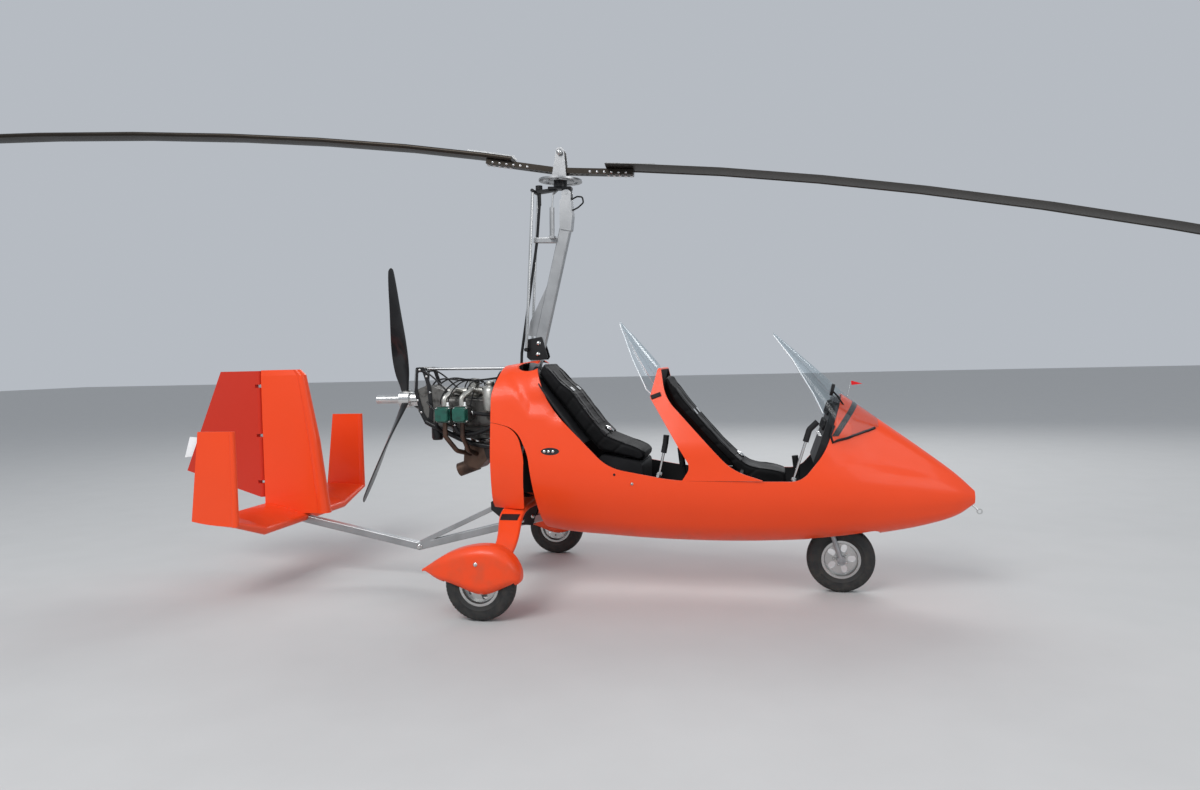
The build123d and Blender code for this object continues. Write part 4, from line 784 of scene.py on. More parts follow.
# Where the cutters start and end: level ones across, upright ones in height
FULL_WIDTH, KEEL_WIDTH, LAMP_DEPTH = (-0.7, 0.7), (-0.037, 0.037), (0.30, 0.45)
WELL_HEIGHTS, SLOT_HEIGHTS = (0.26, 0.42), (1.30, 1.50)


def add_pod():
    pod = new_object("pod_skin", *pod_shell(POD_END, 190), finishes["pod_lined"])
    level = [add_prism(outline, *FULL_WIDTH) for outline in (COCKPIT, TUB_END)]
    upright = [add_prism(WELL, *WELL_HEIGHTS, True), add_prism(MAST_SLOT, *SLOT_HEIGHTS, True)]
    last = [add_prism(KEEL_WAY, *KEEL_WIDTH), add_prism(MAST_WINDOW, *FULL_WIDTH)]
    lamps = [add_prism(LAMP_SEAT, *sorted(side * depth for depth in LAMP_DEPTH)) for side in SIDES]
    cut_with(pod, level + upright + last + lamps)
    settle(pod)
    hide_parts("body_shell")


def add_quarter_panels():
    shell = pod_shell(PANEL_END, 40, PANEL_FLARE, creased=False)
    panels = new_object("quarter_skins", *shell, finishes["pod_lined"])
    cut_with(panels, [add_prism(PANEL, *FULL_WIDTH)], "INTERSECT")
    settle(panels)
    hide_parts("quarter_panel_left", "quarter_panel_right")


def compare_skins():
    """How far each 37th point of the drawn skin is from the solid's skin."""
    tree = skin_of("body_shell")
    spots = points_of(bpy.data.objects["pod_skin"].data)[::37]
    gaps = np.array([tree.find_nearest(Vector(spot))[3] for spot in spots]) * 1000
    print("skin gap, middle and largest mm", round(float(np.median(gaps)), 2), round(float(gaps.max()), 1))


add_pod()
add_quarter_panels()
compare_skins()

# %% [markdown]
# The propeller's three blades are composite, twisted from root to tip, with
# the broad face turned to the rear. A blade is a streamlined section whose
# chord, thickness and twist change with the radius: one formula on a grid.

# %% Propeller
PROP_CENTRE = np.array([-1.115, 0.0, 1.196])
PROP_TURNS = [131.4, 251.4, 11.4]
BLADE_ROOT, TIP_START, TIP_LENGTH, TIP_ELLIPSE = 0.046, 0.84, 0.024, 0.0245
SECTION_POINTS = 40
NOSE_FULLNESS, TAIL_FULLNESS, CAMBER, TWIST_AXIS = 1.332, 0.02, 0.03, 0.4
# Columns: radius, chord, thickness, twist from the disc in degrees
BLADE_TABLE = np.array([
    (0.046, 0.046, 0.040, 60.0),
    (0.100, 0.062, 0.034, 53.0),
    (0.170, 0.092, 0.026, 46.0),
    (0.330, 0.118, 0.018, 33.0),
    (0.600, 0.096, 0.012, 20.0),
    (0.800, 0.066, 0.008, 15.5),
    (0.864, 0.046, 0.006, 14.0),
])


def blade_grid():
    """A blade that stands up from the hub. At share s of the chord, half
    the thickness is a square root nose that falls to the tail, and the
    middle line bends by the camber. Near the tip all sizes follow a
    quarter ellipse. Each section is then turned by the twist."""
    tip_steps = np.sin(np.linspace(0.1, 1, 8) * np.pi / 2)
    radius = np.concatenate([np.linspace(BLADE_ROOT, TIP_START, 60), TIP_START + TIP_LENGTH * tip_steps])
    chord, thick, twist = through(BLADE_TABLE, radius).T[..., None]
    tip = np.sqrt(np.clip(1 - ((radius - TIP_START) / TIP_ELLIPSE).clip(0) ** 2, 0, 1))[:, None]
    chord, thick, turn = chord * tip, thick * tip, np.radians(twist)
    angle = circle(SECTION_POINTS)
    s = 0.5 - 0.5 * np.cos(angle)
    half = NOSE_FULLNESS * np.sqrt(s) * (1 - s) + TAIL_FULLNESS * s
    across = (s - TWIST_AXIS) * chord
    over = np.sign(np.sin(angle)) * half * thick + CAMBER * chord * np.sin(np.pi * s)
    x = -np.sin(turn) * across - np.cos(turn) * over
    y = -np.cos(turn) * across + np.sin(turn) * over
    return x, y, np.broadcast_to(radius[:, None], x.shape)


def add_propeller():
    x, y, z = blade_grid()
    for number, degrees in enumerate(PROP_TURNS, 1):
        cos, sin = math.cos(math.radians(degrees)), math.sin(math.radians(degrees))
        points = np.stack([x, y * cos - z * sin, y * sin + z * cos], -1) + PROP_CENTRE
        faces = capped_faces(len(x), SECTION_POINTS)
        blade = add_piece(f"twisted_blade_{number}", points, faces, "prop_black", "propeller")
        face_outwards(blade.data)
        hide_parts(f"prop_blade_{number}")


add_propeller()

# %% [markdown]
# The engine hangs in a welded cradle: an open plate each side of the
# gearbox, two long tubes under the engine, two cross tubes, and one bar
# from the top of the plates to the cowl. The plates are a ring between an
# outer and an inner outline with the same number of points.

# %% Engine cradle
PLATE_OUTER = [(-1.004, 1.404), (-0.944, 1.404), (-0.905, 1.290), (-0.893, 1.130), (-0.900, 1.036),
               (-0.950, 1.036), (-0.984, 1.104), (-1.020, 1.251)]
PLATE_INNER = [(-0.988, 1.372), (-0.958, 1.372), (-0.930, 1.286), (-0.919, 1.132), (-0.923, 1.076),
               (-0.938, 1.076), (-0.960, 1.112), (-0.996, 1.250)]
PLATE_INSIDE, PLATE_OUTSIDE = 0.0885, 0.0945
LONG_TUBES = [[(-936, 108, 1052), (-880, 108, 1022), (-760, 108, 966), (-680, 108, 926), (-600, 108, 902),
               (-440, 108, 882)]]
CROSS_TUBES = [[(-0.462, -0.118, 0.884), (-0.462, 0.118, 0.884)], [(-0.974, -0.094, 1.392), (-0.974, 0.094, 1.392)]]
STAY = [[(-0.974, 0.0, 1.392), (-0.40, 0.0, 1.385)]]
PLATE_EDGES = [[(-1019, 91.5, 1250), (-1003, 91.5, 1395)]]


def add_cradle():
    outer, inner = rounded(PLATE_OUTER, 0.012, 6), rounded(PLATE_INNER, 0.010, 6)
    count = len(outer)
    ring = grid_faces(5, count) % (4 * count)
    shapes = []
    for side in SIDES:
        layers = ((outer, PLATE_INSIDE), (outer, PLATE_OUTSIDE), (inner, PLATE_OUTSIDE), (inner, PLATE_INSIDE))
        points = [np.insert(outline, 1, y * side, axis=1) for outline, y in layers]
        shapes.append((points, ring[:, ::side]))
    plates = add_piece("cradle_plates", *joined(shapes), "mount_black")
    plates.data.set_sharp_from_angle(angle=SHARP_ANGLE)
    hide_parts("engine_mount")
    add_hoses("cradle_tubes", mirrored(LONG_TUBES), 0.017, "mount_black")
    add_hoses("cradle_cross_tubes", CROSS_TUBES, 0.014, "mount_black", wire=True)
    add_hoses("cradle_stay", STAY, 0.010, "bare_aluminium", wire=True)
    add_hoses("cradle_edges", mirrored(PLATE_EDGES), 0.0042, "bare_aluminium", wire=True)


add_cradle()

# %% [markdown]
# The tyres are small aircraft tyres: straight grooves round the crown,
# short cuts across the shoulders, and a rim line on the wall. Relief
# alone would leave the outline smooth, so the whole tyre is drawn again as a
# surface: one profile with its grooves, turned about the axle, whose
# shoulders also dip once for every cut.

# %% Tyres
MAIN_AXLE, NOSE_AXLE, AXLE_HEIGHT = -0.330, 1.647, 0.2
TYRES = {
    "main_tyre_left": (MAIN_AXLE, 0.820, "main_wheel_left"),
    "main_tyre_right": (MAIN_AXLE, -0.820, "main_wheel_right"),
    "nose_tyre": (NOSE_AXLE, 0.0, "nose_wheel"),
}
# Millimetres from the axle and from the tyre's middle plane
WALL_LINE = np.array([
    (187.5, 42.6), (179, 46.0), (165, 47.8), (152, 48.0), (142, 47.2), (140, 48.0), (137, 47.8),
    (135, 46.2), (126, 44.4), (116, 41.0), (110, 38.2), (104.4, 36.8),
])
GROOVES, GROOVE_HALF, GROOVE_DEPTH = (0.0, 12.0, 24.0), 1.7, 5.0
SHOULDER_CUTS, CUT_DEPTH = 56, 0.0042
SHOULDER_LOW, SHOULDER_HIGH = 0.0265, 0.044


def tyre_profile():
    """Radius and offset in metres, from one rim over the crown to the other."""
    side = np.linspace(-38.0, 38.0, 53)
    crown = 199.7 - 6.6 * (np.abs(side) / 38.0) ** 2.6
    for groove in GROOVES:
        crown = crown - GROOVE_DEPTH * (np.abs(np.abs(side) - groove) < GROOVE_HALF)
    radius, offset = WALL_LINE.T
    return np.concatenate([radius[::-1], crown, radius]) / 1000, np.concatenate([-offset[::-1], side, offset]) / 1000


def add_tyre(node, x, y, body):
    radius, side = tyre_profile()
    angle = circle(SHOULDER_CUTS * 5)
    in_cut = np.arange(len(angle)) % 5 == 0
    shoulder = (np.abs(side) > SHOULDER_LOW) & (np.abs(side) < SHOULDER_HIGH)
    r = radius[:, None] - CUT_DEPTH * (in_cut & shoulder[:, None])
    across = np.broadcast_to(y + side[:, None], r.shape)
    points = np.stack([x + r * np.cos(angle), across, AXLE_HEIGHT + r * np.sin(angle)], -1)
    piece = add_piece(f"{node}_treaded", points, grid_faces(len(side), len(angle)), "tyre_black", body)
    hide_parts(node)


for node, place in TYRES.items():
    add_tyre(node, *place)
print("tyre outside", round(float(tyre_profile()[0].max()), 4), "m")

# %% [markdown]
# The seats are long black cushions, one piece from the front of the squab
# to the head, with sewn channels across, a raised bolster down each side and
# piping along the edge. A block with rounded corners looks like a block, so
# each cushion starts as a closed surface between two side-view lines, its
# sides pulled in, and then real cloth is blown up over it: the seams are
# held and the cloth between them swells.

# %% Cushions
SEATS = {
    "seat_front": {
        "top": [(1.338, 0.655), (1.336, 0.742), (1.29, 0.757), (1.12, 0.777), (1.03, 0.845), (0.945, 0.932),
                (0.84, 1.055), (0.735, 1.180), (0.69, 1.25), (0.645, 1.322)],
        "bottom": [(1.31, 0.650), (1.27, 0.648), (1.21, 0.648), (1.06, 0.700), (1.00, 0.806), (0.905, 0.905),
                   (0.80, 1.020), (0.69, 1.140), (0.655, 1.21), (0.622, 1.31)],
        "half": 0.164,
        "seams": [0.235, 0.37, 0.50, 0.63, 0.76, 0.88],
    },
    "seat_rear": {
        "top": [(0.494, 0.812), (0.502, 0.868), (0.46, 0.890), (0.275, 0.960), (0.205, 1.035), (0.12, 1.150),
                (0.048, 1.250), (-0.02, 1.296), (-0.06, 1.352), (-0.13, 1.424)],
        "bottom": [(0.47, 0.812), (0.42, 0.820), (0.36, 0.832), (0.215, 0.862), (0.130, 0.965), (0.04, 1.082),
                   (-0.03, 1.172), (-0.075, 1.232), (-0.11, 1.278), (-0.165, 1.352)],
        "half": 0.176,
        "seams": [0.21, 0.34, 0.46, 0.58, 0.68, 0.80],
    },
}
STATIONS, ROUND = 110, 72
CLOTH_FRAMES = 14
SWELL_CAP = 0.007
SEAM_WIDTH, SEAM_DEPTH, BOLSTER_LIFT, CROWN_DROP = 0.009, 0.09, 0.08, 0.05


def soften(rows, times):
    """Each row but the ends drawn towards its neighbours, times over."""
    rows = np.array(rows)
    for _ in range(times):
        rows[1:-1] = (rows[:-2] + 2 * rows[1:-1] + rows[2:]) / 4
    return rows


def squared(wave):
    """A sine or cosine with its tops widened, for a squared circle."""
    return np.sign(wave) * np.abs(wave) ** 0.42


def cushion_surface(seat):
    """Closed cushion. Along it, share runs from 0 to 1 between the ends;
    round it, an angle goes once about a squared circle whose height runs
    from the bottom line to the top line. The end rings shrink to a small
    capped loop, because cloth can't be worked out on edges of no length,
    seams press the top in, and the bolsters lift it near each side."""
    top, bottom = (soften(along_line(seat[line], STATIONS), 10) for line in ("top", "bottom"))
    middle, reach = (top + bottom) / 2, (top - bottom) / 2
    share = np.linspace(0, 1, STATIONS)[:, None]
    close = np.clip((np.abs(2 * share - 1) - 0.95) / 0.05, 0, 1)
    swell = np.sqrt(np.clip(1 - close**2, 0.0009, 1))
    press = sum(np.exp(-(((share - seam) / SEAM_WIDTH) ** 2)) for seam in seat["seams"])
    wide, high = squared(np.cos(circle(ROUND))), squared(np.sin(circle(ROUND)))
    bolster = np.exp(-(((np.abs(wide) - 0.84) / 0.13) ** 2))
    level = high * (1 + (high > 0) * (BOLSTER_LIFT * bolster - SEAM_DEPTH * press - CROWN_DROP))
    waist = 1 - 0.03 * press - 0.015 * np.cos(2 * np.pi * share * 3)
    x = middle[:, :1] + reach[:, :1] * level * swell
    z = middle[:, 1:] + reach[:, 1:] * level * swell
    y = seat["half"] * wide * swell * waist
    held = np.clip(press * (high > 0.2) + (high < -0.1) + (1 - swell), 0, 1)
    return np.stack([x, y, z], -1), held


def swell_with_cloth(piece, held):
    """Blow cloth up on the mesh, with the held points pinned, and keep at
    most the cap's movement."""
    group = piece.vertex_groups.new(name="held")
    weights = held.reshape(-1)
    for index in np.nonzero(weights > 0.05)[0]:
        group.add([int(index)], float(weights[index]), "REPLACE")
    cloth = piece.modifiers.new("cloth", "CLOTH")
    settings = cloth.settings
    settings.quality = 5
    settings.mass = 0.25
    settings.use_pressure = True
    settings.uniform_pressure_force = 2.0
    settings.vertex_group_mass = "held"
    settings.effector_weights.gravity = 0.0
    settings.tension_stiffness = settings.compression_stiffness = 120.0
    settings.bending_stiffness = 4.0
    scene = bpy.context.scene
    for number in range(1, CLOTH_FRAMES + 1):
        scene.frame_set(number)
    before = points_of(piece.data)
    move = points_of(piece.evaluated_get(bpy.context.evaluated_depsgraph_get()).data) - before
    length = np.linalg.norm(move, axis=1, keepdims=True)
    move = move * np.minimum(1.0, SWELL_CAP / np.maximum(length, 1e-9))
    piece.modifiers.remove(cloth)
    piece.data.vertices.foreach_set("co", (before + move).reshape(-1))
    piece.data.update()
    scene.frame_set(1)
    print(piece.name, "cloth moved up to", round(float(length.max()) * 1000, 1), "mm")


def add_cushion(node, seat):
    points, held = cushion_surface(seat)
    piece = add_piece(f"{node}_cushion", points, capped_faces(STATIONS, ROUND), "seat_black")
    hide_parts(node)
    swell_with_cloth(piece, held)
    grid = points_of(piece.data).reshape(STATIONS, ROUND, 3)
    smooth = piece.modifiers.new("round", "SUBSURF")
    smooth.levels = smooth.render_levels = 1
    return grid


cushion_grids = {node: add_cushion(node, seat) for node, seat in SEATS.items()}

# %% [markdown]
# Piping is a cord sewn into the edge where the cover's top meets its side,
# and each seat carries a four-point harness: two straps down the back, two
# across the lap, and a buckle. Both follow the finished cushion, so they
# take their line from its points.

# %% Piping and harness
BACK_ROWS, LAP_ROW = range(100, 46, -2), 40
LAP_START, LAP_END = 5, 18
PIPING_COLUMN = 7
SHOULDER_APART = 0.085
STRAP_WIDTH, STRAP_THICK, ADJUSTER_WIDTH, ADJUSTER_THICK = 0.045, 0.002, 0.052, 0.004
BACK_LIFT, LAP_LIFT, BUCKLE_LIFT, PIPING_LIFT = 0.0015, 0.004, 0.004, 0.001
BUCKLE = [(0.001, 0.0), (0.030, 0.0), (0.031, 0.006), (0.026, 0.011), (0.012, 0.012), (0.010, 0.015), (0.0005, 0.015)]


def outward(grid, row, column):
    """Unit normal of the cushion's grid at a point."""
    along = grid[min(row + 1, STATIONS - 1), column] - grid[max(row - 1, 0), column]
    around = grid[row, (column + 1) % ROUND] - grid[row, column - 1]
    normal = unit(np.cross(around, along))
    return normal if normal @ (grid[row, column] - grid[row].mean(axis=0)) > 0 else -normal


def strap_on(grid, places, lift):
    """Softened points and normals over the cushion at (row, column)s."""
    normals = np.array([outward(grid, *place) for place in places])
    points = np.array([grid[place] for place in places]) + normals * lift
    return soften(points, 4), soften(normals, 4)


def nearest_top(grid, row, y):
    """The place on the cushion's top in a row that lies nearest to y."""
    return row, min(range(2, ROUND // 2 - 1), key=lambda column: abs(grid[row, column, 1] - y))


def add_harness(node, grid):
    backs = [[nearest_top(grid, row, side * SHOULDER_APART) for row in BACK_ROWS] for side in SIDES]
    shoulder = [strap_on(grid, places, BACK_LIFT) for places in backs]
    columns = range(LAP_START, LAP_END)
    laps = [[(LAP_ROW, k) for k in columns], [(LAP_ROW, ROUND // 2 - k) for k in columns]]
    lap = [strap_on(grid, places, LAP_LIFT) for places in laps]
    add_ribbon(f"{node}_harness", shoulder + lap, STRAP_WIDTH, STRAP_THICK, "panel_black")
    normal = lap[0][1][-1]
    middle = (lap[0][0][-1] + lap[1][0][-1]) / 2 + normal * BUCKLE_LIFT
    add_turned(f"{node}_buckle", BUCKLE, middle, normal, 20, "polished_steel")
    start = len(BACK_ROWS) // 3
    pads = [(points[start:start + 3], normals[start:start + 3]) for points, normals in shoulder]
    pads = [(points + normals * STRAP_THICK, normals) for points, normals in pads]
    add_ribbon(f"{node}_adjusters", pads, ADJUSTER_WIDTH, ADJUSTER_THICK, "polished_steel")


def add_piping(node, grid):
    routes = [
        [grid[row, column] + outward(grid, row, column) * PIPING_LIFT for row in range(4, STATIONS - 4, 3)]
        for column in (PIPING_COLUMN, ROUND // 2 - PIPING_COLUMN)
    ]
    add_hoses(f"{node}_piping", routes, 0.0035, "seat_black")


for add_trim in (add_piping, add_harness):
    for node, grid in cushion_grids.items():
        add_trim(node, grid)

# %% [markdown]
# Rubber seals and trims follow edges of the engineering model: the foot of
# each windscreen, the seam strip on the fairing, the step pads on the gear
# leg. Their lines are read off the model itself. A windscreen's foot is
# its lowest points, and a strip on a side is found by rays. The screens'
# free edges carry thin white beads: a painted highlight for the light a
# polished edge catches.

# %% Seals and trims
FOOT_START = 1.548
SCREEN_EDGES = [
    [(1272, 22, 1548), (1380, 95, 1400), (1500, 190, 1190), (1545, 231, 1088)],
    [(336, 20, 1644), (430, 120, 1420), (520, 188, 1240), (560, 201, 1202)],
]
FAIRING_SEAM = [(0.548, 1.191), (0.614, 1.214)]
PAD_X, PAD_Y = np.linspace(-0.352, -0.238, 9), np.linspace(0.372, 0.436, 9)
# The gear leg falls away to the side: its height at one place and its slope
LEG_Y, LEG_HEIGHT, LEG_SLOPE = 0.352, 0.545, 0.49


def foot_of(screen, side, first_x, count=12):
    """The screen's foot on one side: its lowest point in each step of x."""
    co = points_of(nodes[screen].data)
    co = co[(co[:, 1] * side > 0.004) & (co[:, 0] > first_x)]
    steps = np.linspace(first_x, co[:, 0].max() - 0.002, count)
    parts = [co[(co[:, 0] >= low) & (co[:, 0] <= high)] for low, high in zip(steps[:-1], steps[1:])]
    return np.array([part[np.argmin(part[:, 2])] for part in parts if len(part)])


def laid_on(tree, points, lift):
    """The points moved to the nearest place on a skin, and lifted off it."""
    found = [tree.find_nearest(Vector(point))[:2] for point in points]
    return np.array([near + normal * lift for near, normal in found])


def add_step_pads():
    tree = skin_of("gear_bow")
    x, y = np.meshgrid(PAD_X, PAD_Y, indexing="ij")
    height = LEG_HEIGHT - LEG_SLOPE * (y - LEG_Y)
    for label, side in LEFT_AND_RIGHT:
        points = laid_on(tree, np.stack([x, side * y, height], -1).reshape(-1, 3), 0.0015)
        pad = add_piece(f"step_pad_{label}", points, grid_faces(len(PAD_X), len(PAD_Y), False), "panel_black")
        pad.modifiers.new("thick", "SOLIDIFY").thickness = 0.0012


pod_tree = skin_of("pod_skin")
feet = [foot_of("windscreen_front", side, FOOT_START) for side in SIDES]
print("seal points", [len(foot) for foot in feet])
add_hoses("windscreen_seals", [laid_on(pod_tree, foot, 0.003) for foot in feet], 0.0075, "panel_black", wire=True)
# White beads along the screens' free edges: a painted highlight
painted_edge_highlight = moulded("screen_edge_painted_highlight", (0.75, 0.8, 0.83), 0.15, 90.0, 0.00002, 0.8)
add_hoses("screen_edge_highlights", mirrored(SCREEN_EDGES), 0.0036, "clear_screen", wire=True, material=painted_edge_highlight)
fairing_tree = skin_of("seat_fairing")
seams = [on_side(fairing_tree, along_line(FAIRING_SEAM, 9), side) for side in SIDES]
add_ribbon("fairing_strips", seams, 0.026, 0.006, "panel_black")
add_step_pads()

# %% [markdown]
# The instruments. The board leans forward, and its dials face the pilots.
# A dial is a turned bezel with a dark face, marks round it and a needle, all
# without lettering. The marks are raised by a hair so that no two surfaces
# lie in one plane.

# %% Instruments
BOARD_LOW, BOARD_HIGH = np.array([1.530, 0.0, 0.930]), np.array([1.612, 0.0, 1.176])
BOARD_UP = unit(BOARD_HIGH - BOARD_LOW)
BOARD_OUT = np.array([-BOARD_UP[2], 0.0, BOARD_UP[0]])
ACROSS = np.array([0.0, 1.0, 0.0])
# Each dial: its place across and up the board, and its radius
DIALS = [(-0.11, 0.185, 0.040), (0.0, 0.19, 0.044), (0.11, 0.185, 0.040), (-0.135, 0.085, 0.030)]
DIALS += [(-0.045, 0.085, 0.030), (0.045, 0.085, 0.030), (0.135, 0.085, 0.030)]
BEZEL = np.array([(0.80, 0.10), (0.86, 0.30), (0.97, 0.32), (1.04, 0.22), (1.06, 0.0)])
SWITCH = [(0.007, 0.0), (0.007, 0.003), (0.0025, 0.004), (0.0032, 0.018), (0.0004, 0.019)]


def dial_marks(centre, radius, count=24):
    """Short bars round the face and one needle, as thin flat quads."""
    bars = [
        (turn, 0.66 if number % 4 else 0.58, 0.74, 0.02)
        for number, turn in enumerate(np.linspace(-2.4, 2.4, count))
    ]
    points = []
    for turn, inner, outer, half in bars + [(-0.9, -0.12, 0.62, 0.035)]:
        along = BOARD_UP * math.cos(turn) + ACROSS * math.sin(turn)
        aside = -BOARD_UP * math.sin(turn) + ACROSS * math.cos(turn)
        for reach, side in ((inner, -half), (outer, -half * 0.5), (outer, half * 0.5), (inner, half)):
            points.append(centre + radius * (along * reach + aside * side) + BOARD_OUT * 0.0062)
    return points, np.arange(len(points)).reshape(-1, 4)


def add_dials():
    bezels, glasses, marks = [], [], []
    for y, up, radius in DIALS:
        centre = BOARD_LOW + BOARD_UP * up + ACROSS * y + BOARD_OUT * 0.001
        bezels.append(turned(BEZEL * radius, centre, BOARD_OUT, 32))
        glasses.append(turned([(0.0005, 0.0045), (0.84 * radius, 0.005)], centre, BOARD_OUT, 32))
        marks.append(dial_marks(centre, radius))
    add_piece("dial_bezels", *joined(bezels), "panel_black")
    add_piece("dial_faces", *joined(glasses), "lamp_dark")
    add_piece("dial_marks", *joined(marks), "tab_white")


add_dials()
switches = BOARD_LOW + BOARD_UP * 0.02 + ACROSS * np.linspace(-0.15, 0.15, 9)[:, None]
add_turned("board_switches", SWITCH, switches, BOARD_OUT, 12, "polished_steel")

# %% [markdown]
# The engine is dressed with what makes a real one look busy: plug leads,
# coolant hoses and their clamps, fuel lines, an oil tank, and rows of
# bolts. Everything is drawn once for one side and mirrored. Hoses are smooth
# curves, because rubber bends evenly between its two ends.

# %% Engine hoses, in millimetres
PLUG_LEADS = [
    [(-600, 30, 1300), (-660, 80, 1345), (-725, 190, 1290), (-742, 215, 1172)],
    [(-600, 40, 1295), (-620, 100, 1330), (-628, 195, 1270), (-628, 215, 1172)],
    [(-590, 30, 1300), (-720, 60, 1370), (-800, 200, 1250), (-790, 215, 1168)],
    [(-580, 30, 1290), (-600, 140, 1310), (-590, 225, 1120), (-628, 215, 1036)],
]
COOLANT_HOSES = [
    [(-795, 200, 1080), (-850, 190, 1060), (-850, 120, 980), (-760, 100, 965), (-640, 105, 975)],
    [(-705, 190, 1050), (-706, 200, 990), (-640, 190, 960), (-520, 180, 990), (-430, 175, 1040)],
    [(-600, 195, 1110), (-560, 195, 1120), (-510, 180, 1080), (-428, 170, 1110)],
]
FUEL_LINES = [
    [(-545, 70, 1250), (-560, 150, 1290), (-500, 190, 1230), (-430, 150, 1210)],
    [(-900, 60, 1290), (-860, 90, 1330), (-760, 80, 1330), (-660, 50, 1300), (-430, 80, 1330)],
    [(-950, 97, 1380), (-880, 100, 1350), (-800, 110, 1240), (-700, 120, 1200), (-430, 130, 1190)],
    [(-930, 100, 1180), (-860, 130, 1120), (-830, 120, 1050), (-700, 115, 985), (-430, 110, 960)],
]
add_hoses("plug_leads", mirrored(PLUG_LEADS), 0.0042, "panel_black")
coolant = mirrored(COOLANT_HOSES)
add_hoses("coolant_hoses", coolant, 0.0125, "panel_black")
add_hoses("fuel_lines", mirrored(FUEL_LINES), 0.0055, "mount_black")

# %% Engine fittings
PLUGS = np.array([(-0.742, 0.215, 1.1555), (-0.628, 0.215, 1.1555)])
CLAMP = [(0.0122, 0.0), (0.0142, 0.0005), (0.0142, 0.0085), (0.0122, 0.009)]
PLUG_CAP = [(0.011, 0.0), (0.011, 0.006), (0.007, 0.007), (0.0075, 0.024), (0.004, 0.026), (0.0004, 0.026)]
TANK = [(0.0005, 0.0), (0.030, 0.002), (0.046, 0.010), (0.048, 0.03), (0.048, 0.135), (0.040, 0.152)]
TANK += [(0.022, 0.158), (0.022, 0.172), (0.026, 0.174), (0.026, 0.190), (0.018, 0.195), (0.0005, 0.195)]
FILTER = [(0.0005, 0.0), (0.034, 0.001), (0.038, 0.006), (0.038, 0.07), (0.034, 0.078), (0.030, 0.085), (0.0005, 0.085)]
COVER_SPOTS = [
    (x + dx, 1.104 + dz) for x in (-0.763, -0.648) for dz in (0.040, -0.040) for dx in (-0.041, 0.041)
]
GEARBOX_SPOTS = np.array([(-0.9982, y, z) for y in (-0.076, 0.076) for z in (1.135, 1.245)])
PLATE_SPOTS = [(-0.977, 1.388), (-0.931, 1.345), (-0.910, 1.240), (-0.907, 1.150), (-0.930, 1.056),
               (-0.974, 1.112), (-0.998, 1.190)]
add_turned("plug_caps", PLUG_CAP, np.concatenate([PLUGS, PLUGS * FLIP]), (0, 0, 1), 16, "tab_white")
# A clamp near both ends of each coolant hose, on the line to its next point
hose_ends = np.array([(route[k], route[k + step]) for route in coolant for k, step in ((0, 1), (-1, -1))])
clamp_axes = unit(hose_ends[:, 1] - hose_ends[:, 0])
add_turned("hose_clamps", CLAMP, hose_ends[:, 0] + clamp_axes * 0.012, clamp_axes, 20, "polished_steel")
add_turned("oil_tank", TANK, (-0.475, -0.165, 1.115), (0, 0, 1), 32, "intake_pale")
add_turned("oil_filter", FILTER, (-0.880, -0.06, 1.015), (0, 0, -1), 28, "mount_black")
add_side_bolts("cover_bolts", 0.249, COVER_SPOTS, 0.0042)
add_bolts("gearbox_bolts", GEARBOX_SPOTS, (-1, 0, 0), 0.006)
add_side_bolts("plate_bolts", PLATE_OUTSIDE, PLATE_SPOTS, 0.006)

# %% [markdown]
# The rotor lies parked: the shaft leans back, the blades are turned a
# little to the left, the front one hangs low, and both are coned upwards.
# Points on it are given along the blade, across it and above the bar, and
# three axes through the teeter bolt turn them into places. Rows of bolts
# and bright straps hold the blade roots, as they are what the eye uses to
# judge the size of a machine.

# %% Rotor fasteners
TEETER = np.array(next(j for j in frame["joints"] if j["name"] == "rotor_teeter")["pos_m"])
BAR_DROP, CONE_SLOPE = 0.108, 0.055
REST_TEETER, REST_AZIMUTH, SHAFT_TILT = math.radians(4.4), math.radians(4.0), math.radians(3.0)
BAR_HALF, TEETER_HALF = 0.036, 0.0645
# Heights over the bar's middle, and places of bolts along the blade
BAR_UNDERSIDE, ROOT_TOP, STRAP_TOP = -0.0175, 0.0425, 0.0475
ROOT_SPOTS, BAR_SPOTS = np.arange(0.315, 0.47, 0.036), np.arange(0.20, 0.43, 0.045)


def rotor_axes():
    """Along the front blade, to its left and up, for the parked rotor."""
    level = np.array([math.cos(SHAFT_TILT), 0.0, -math.sin(SHAFT_TILT)])
    shaft = np.array([math.sin(SHAFT_TILT), 0.0, math.cos(SHAFT_TILT)])
    ahead = level * math.cos(REST_AZIMUTH) + ACROSS * math.sin(REST_AZIMUTH)
    aside = ACROSS * math.cos(REST_AZIMUTH) - level * math.sin(REST_AZIMUTH)
    front = ahead * math.cos(REST_TEETER) - shaft * math.sin(REST_TEETER)
    return front, aside, shaft * math.cos(REST_TEETER) + ahead * math.sin(REST_TEETER)


FRONT, ASIDE, UP = rotor_axes()


def on_rotor(radius, y, z):
    """Points on the rotor from radii, an offset and a height over the bar."""
    radius = np.asarray(radius, float)[:, None]
    return TEETER + FRONT * radius + ASIDE * y + UP * (np.abs(radius) * CONE_SLOPE + z - BAR_DROP)


def both_blades(radii):
    return np.concatenate([radii, -radii])


def add_root_straps():
    """Two bright straps on edge along the top of each blade root."""
    lines = [
        on_rotor(np.linspace(0.29, 0.60, 14) * side, y, STRAP_TOP) for side in SIDES for y in (-BAR_HALF, BAR_HALF)
    ]
    strips = [(points, np.broadcast_to(ASIDE, points.shape)) for points in lines]
    add_ribbon("blade_root_straps", strips, 0.014, 0.003, "polished_steel", "rotor")


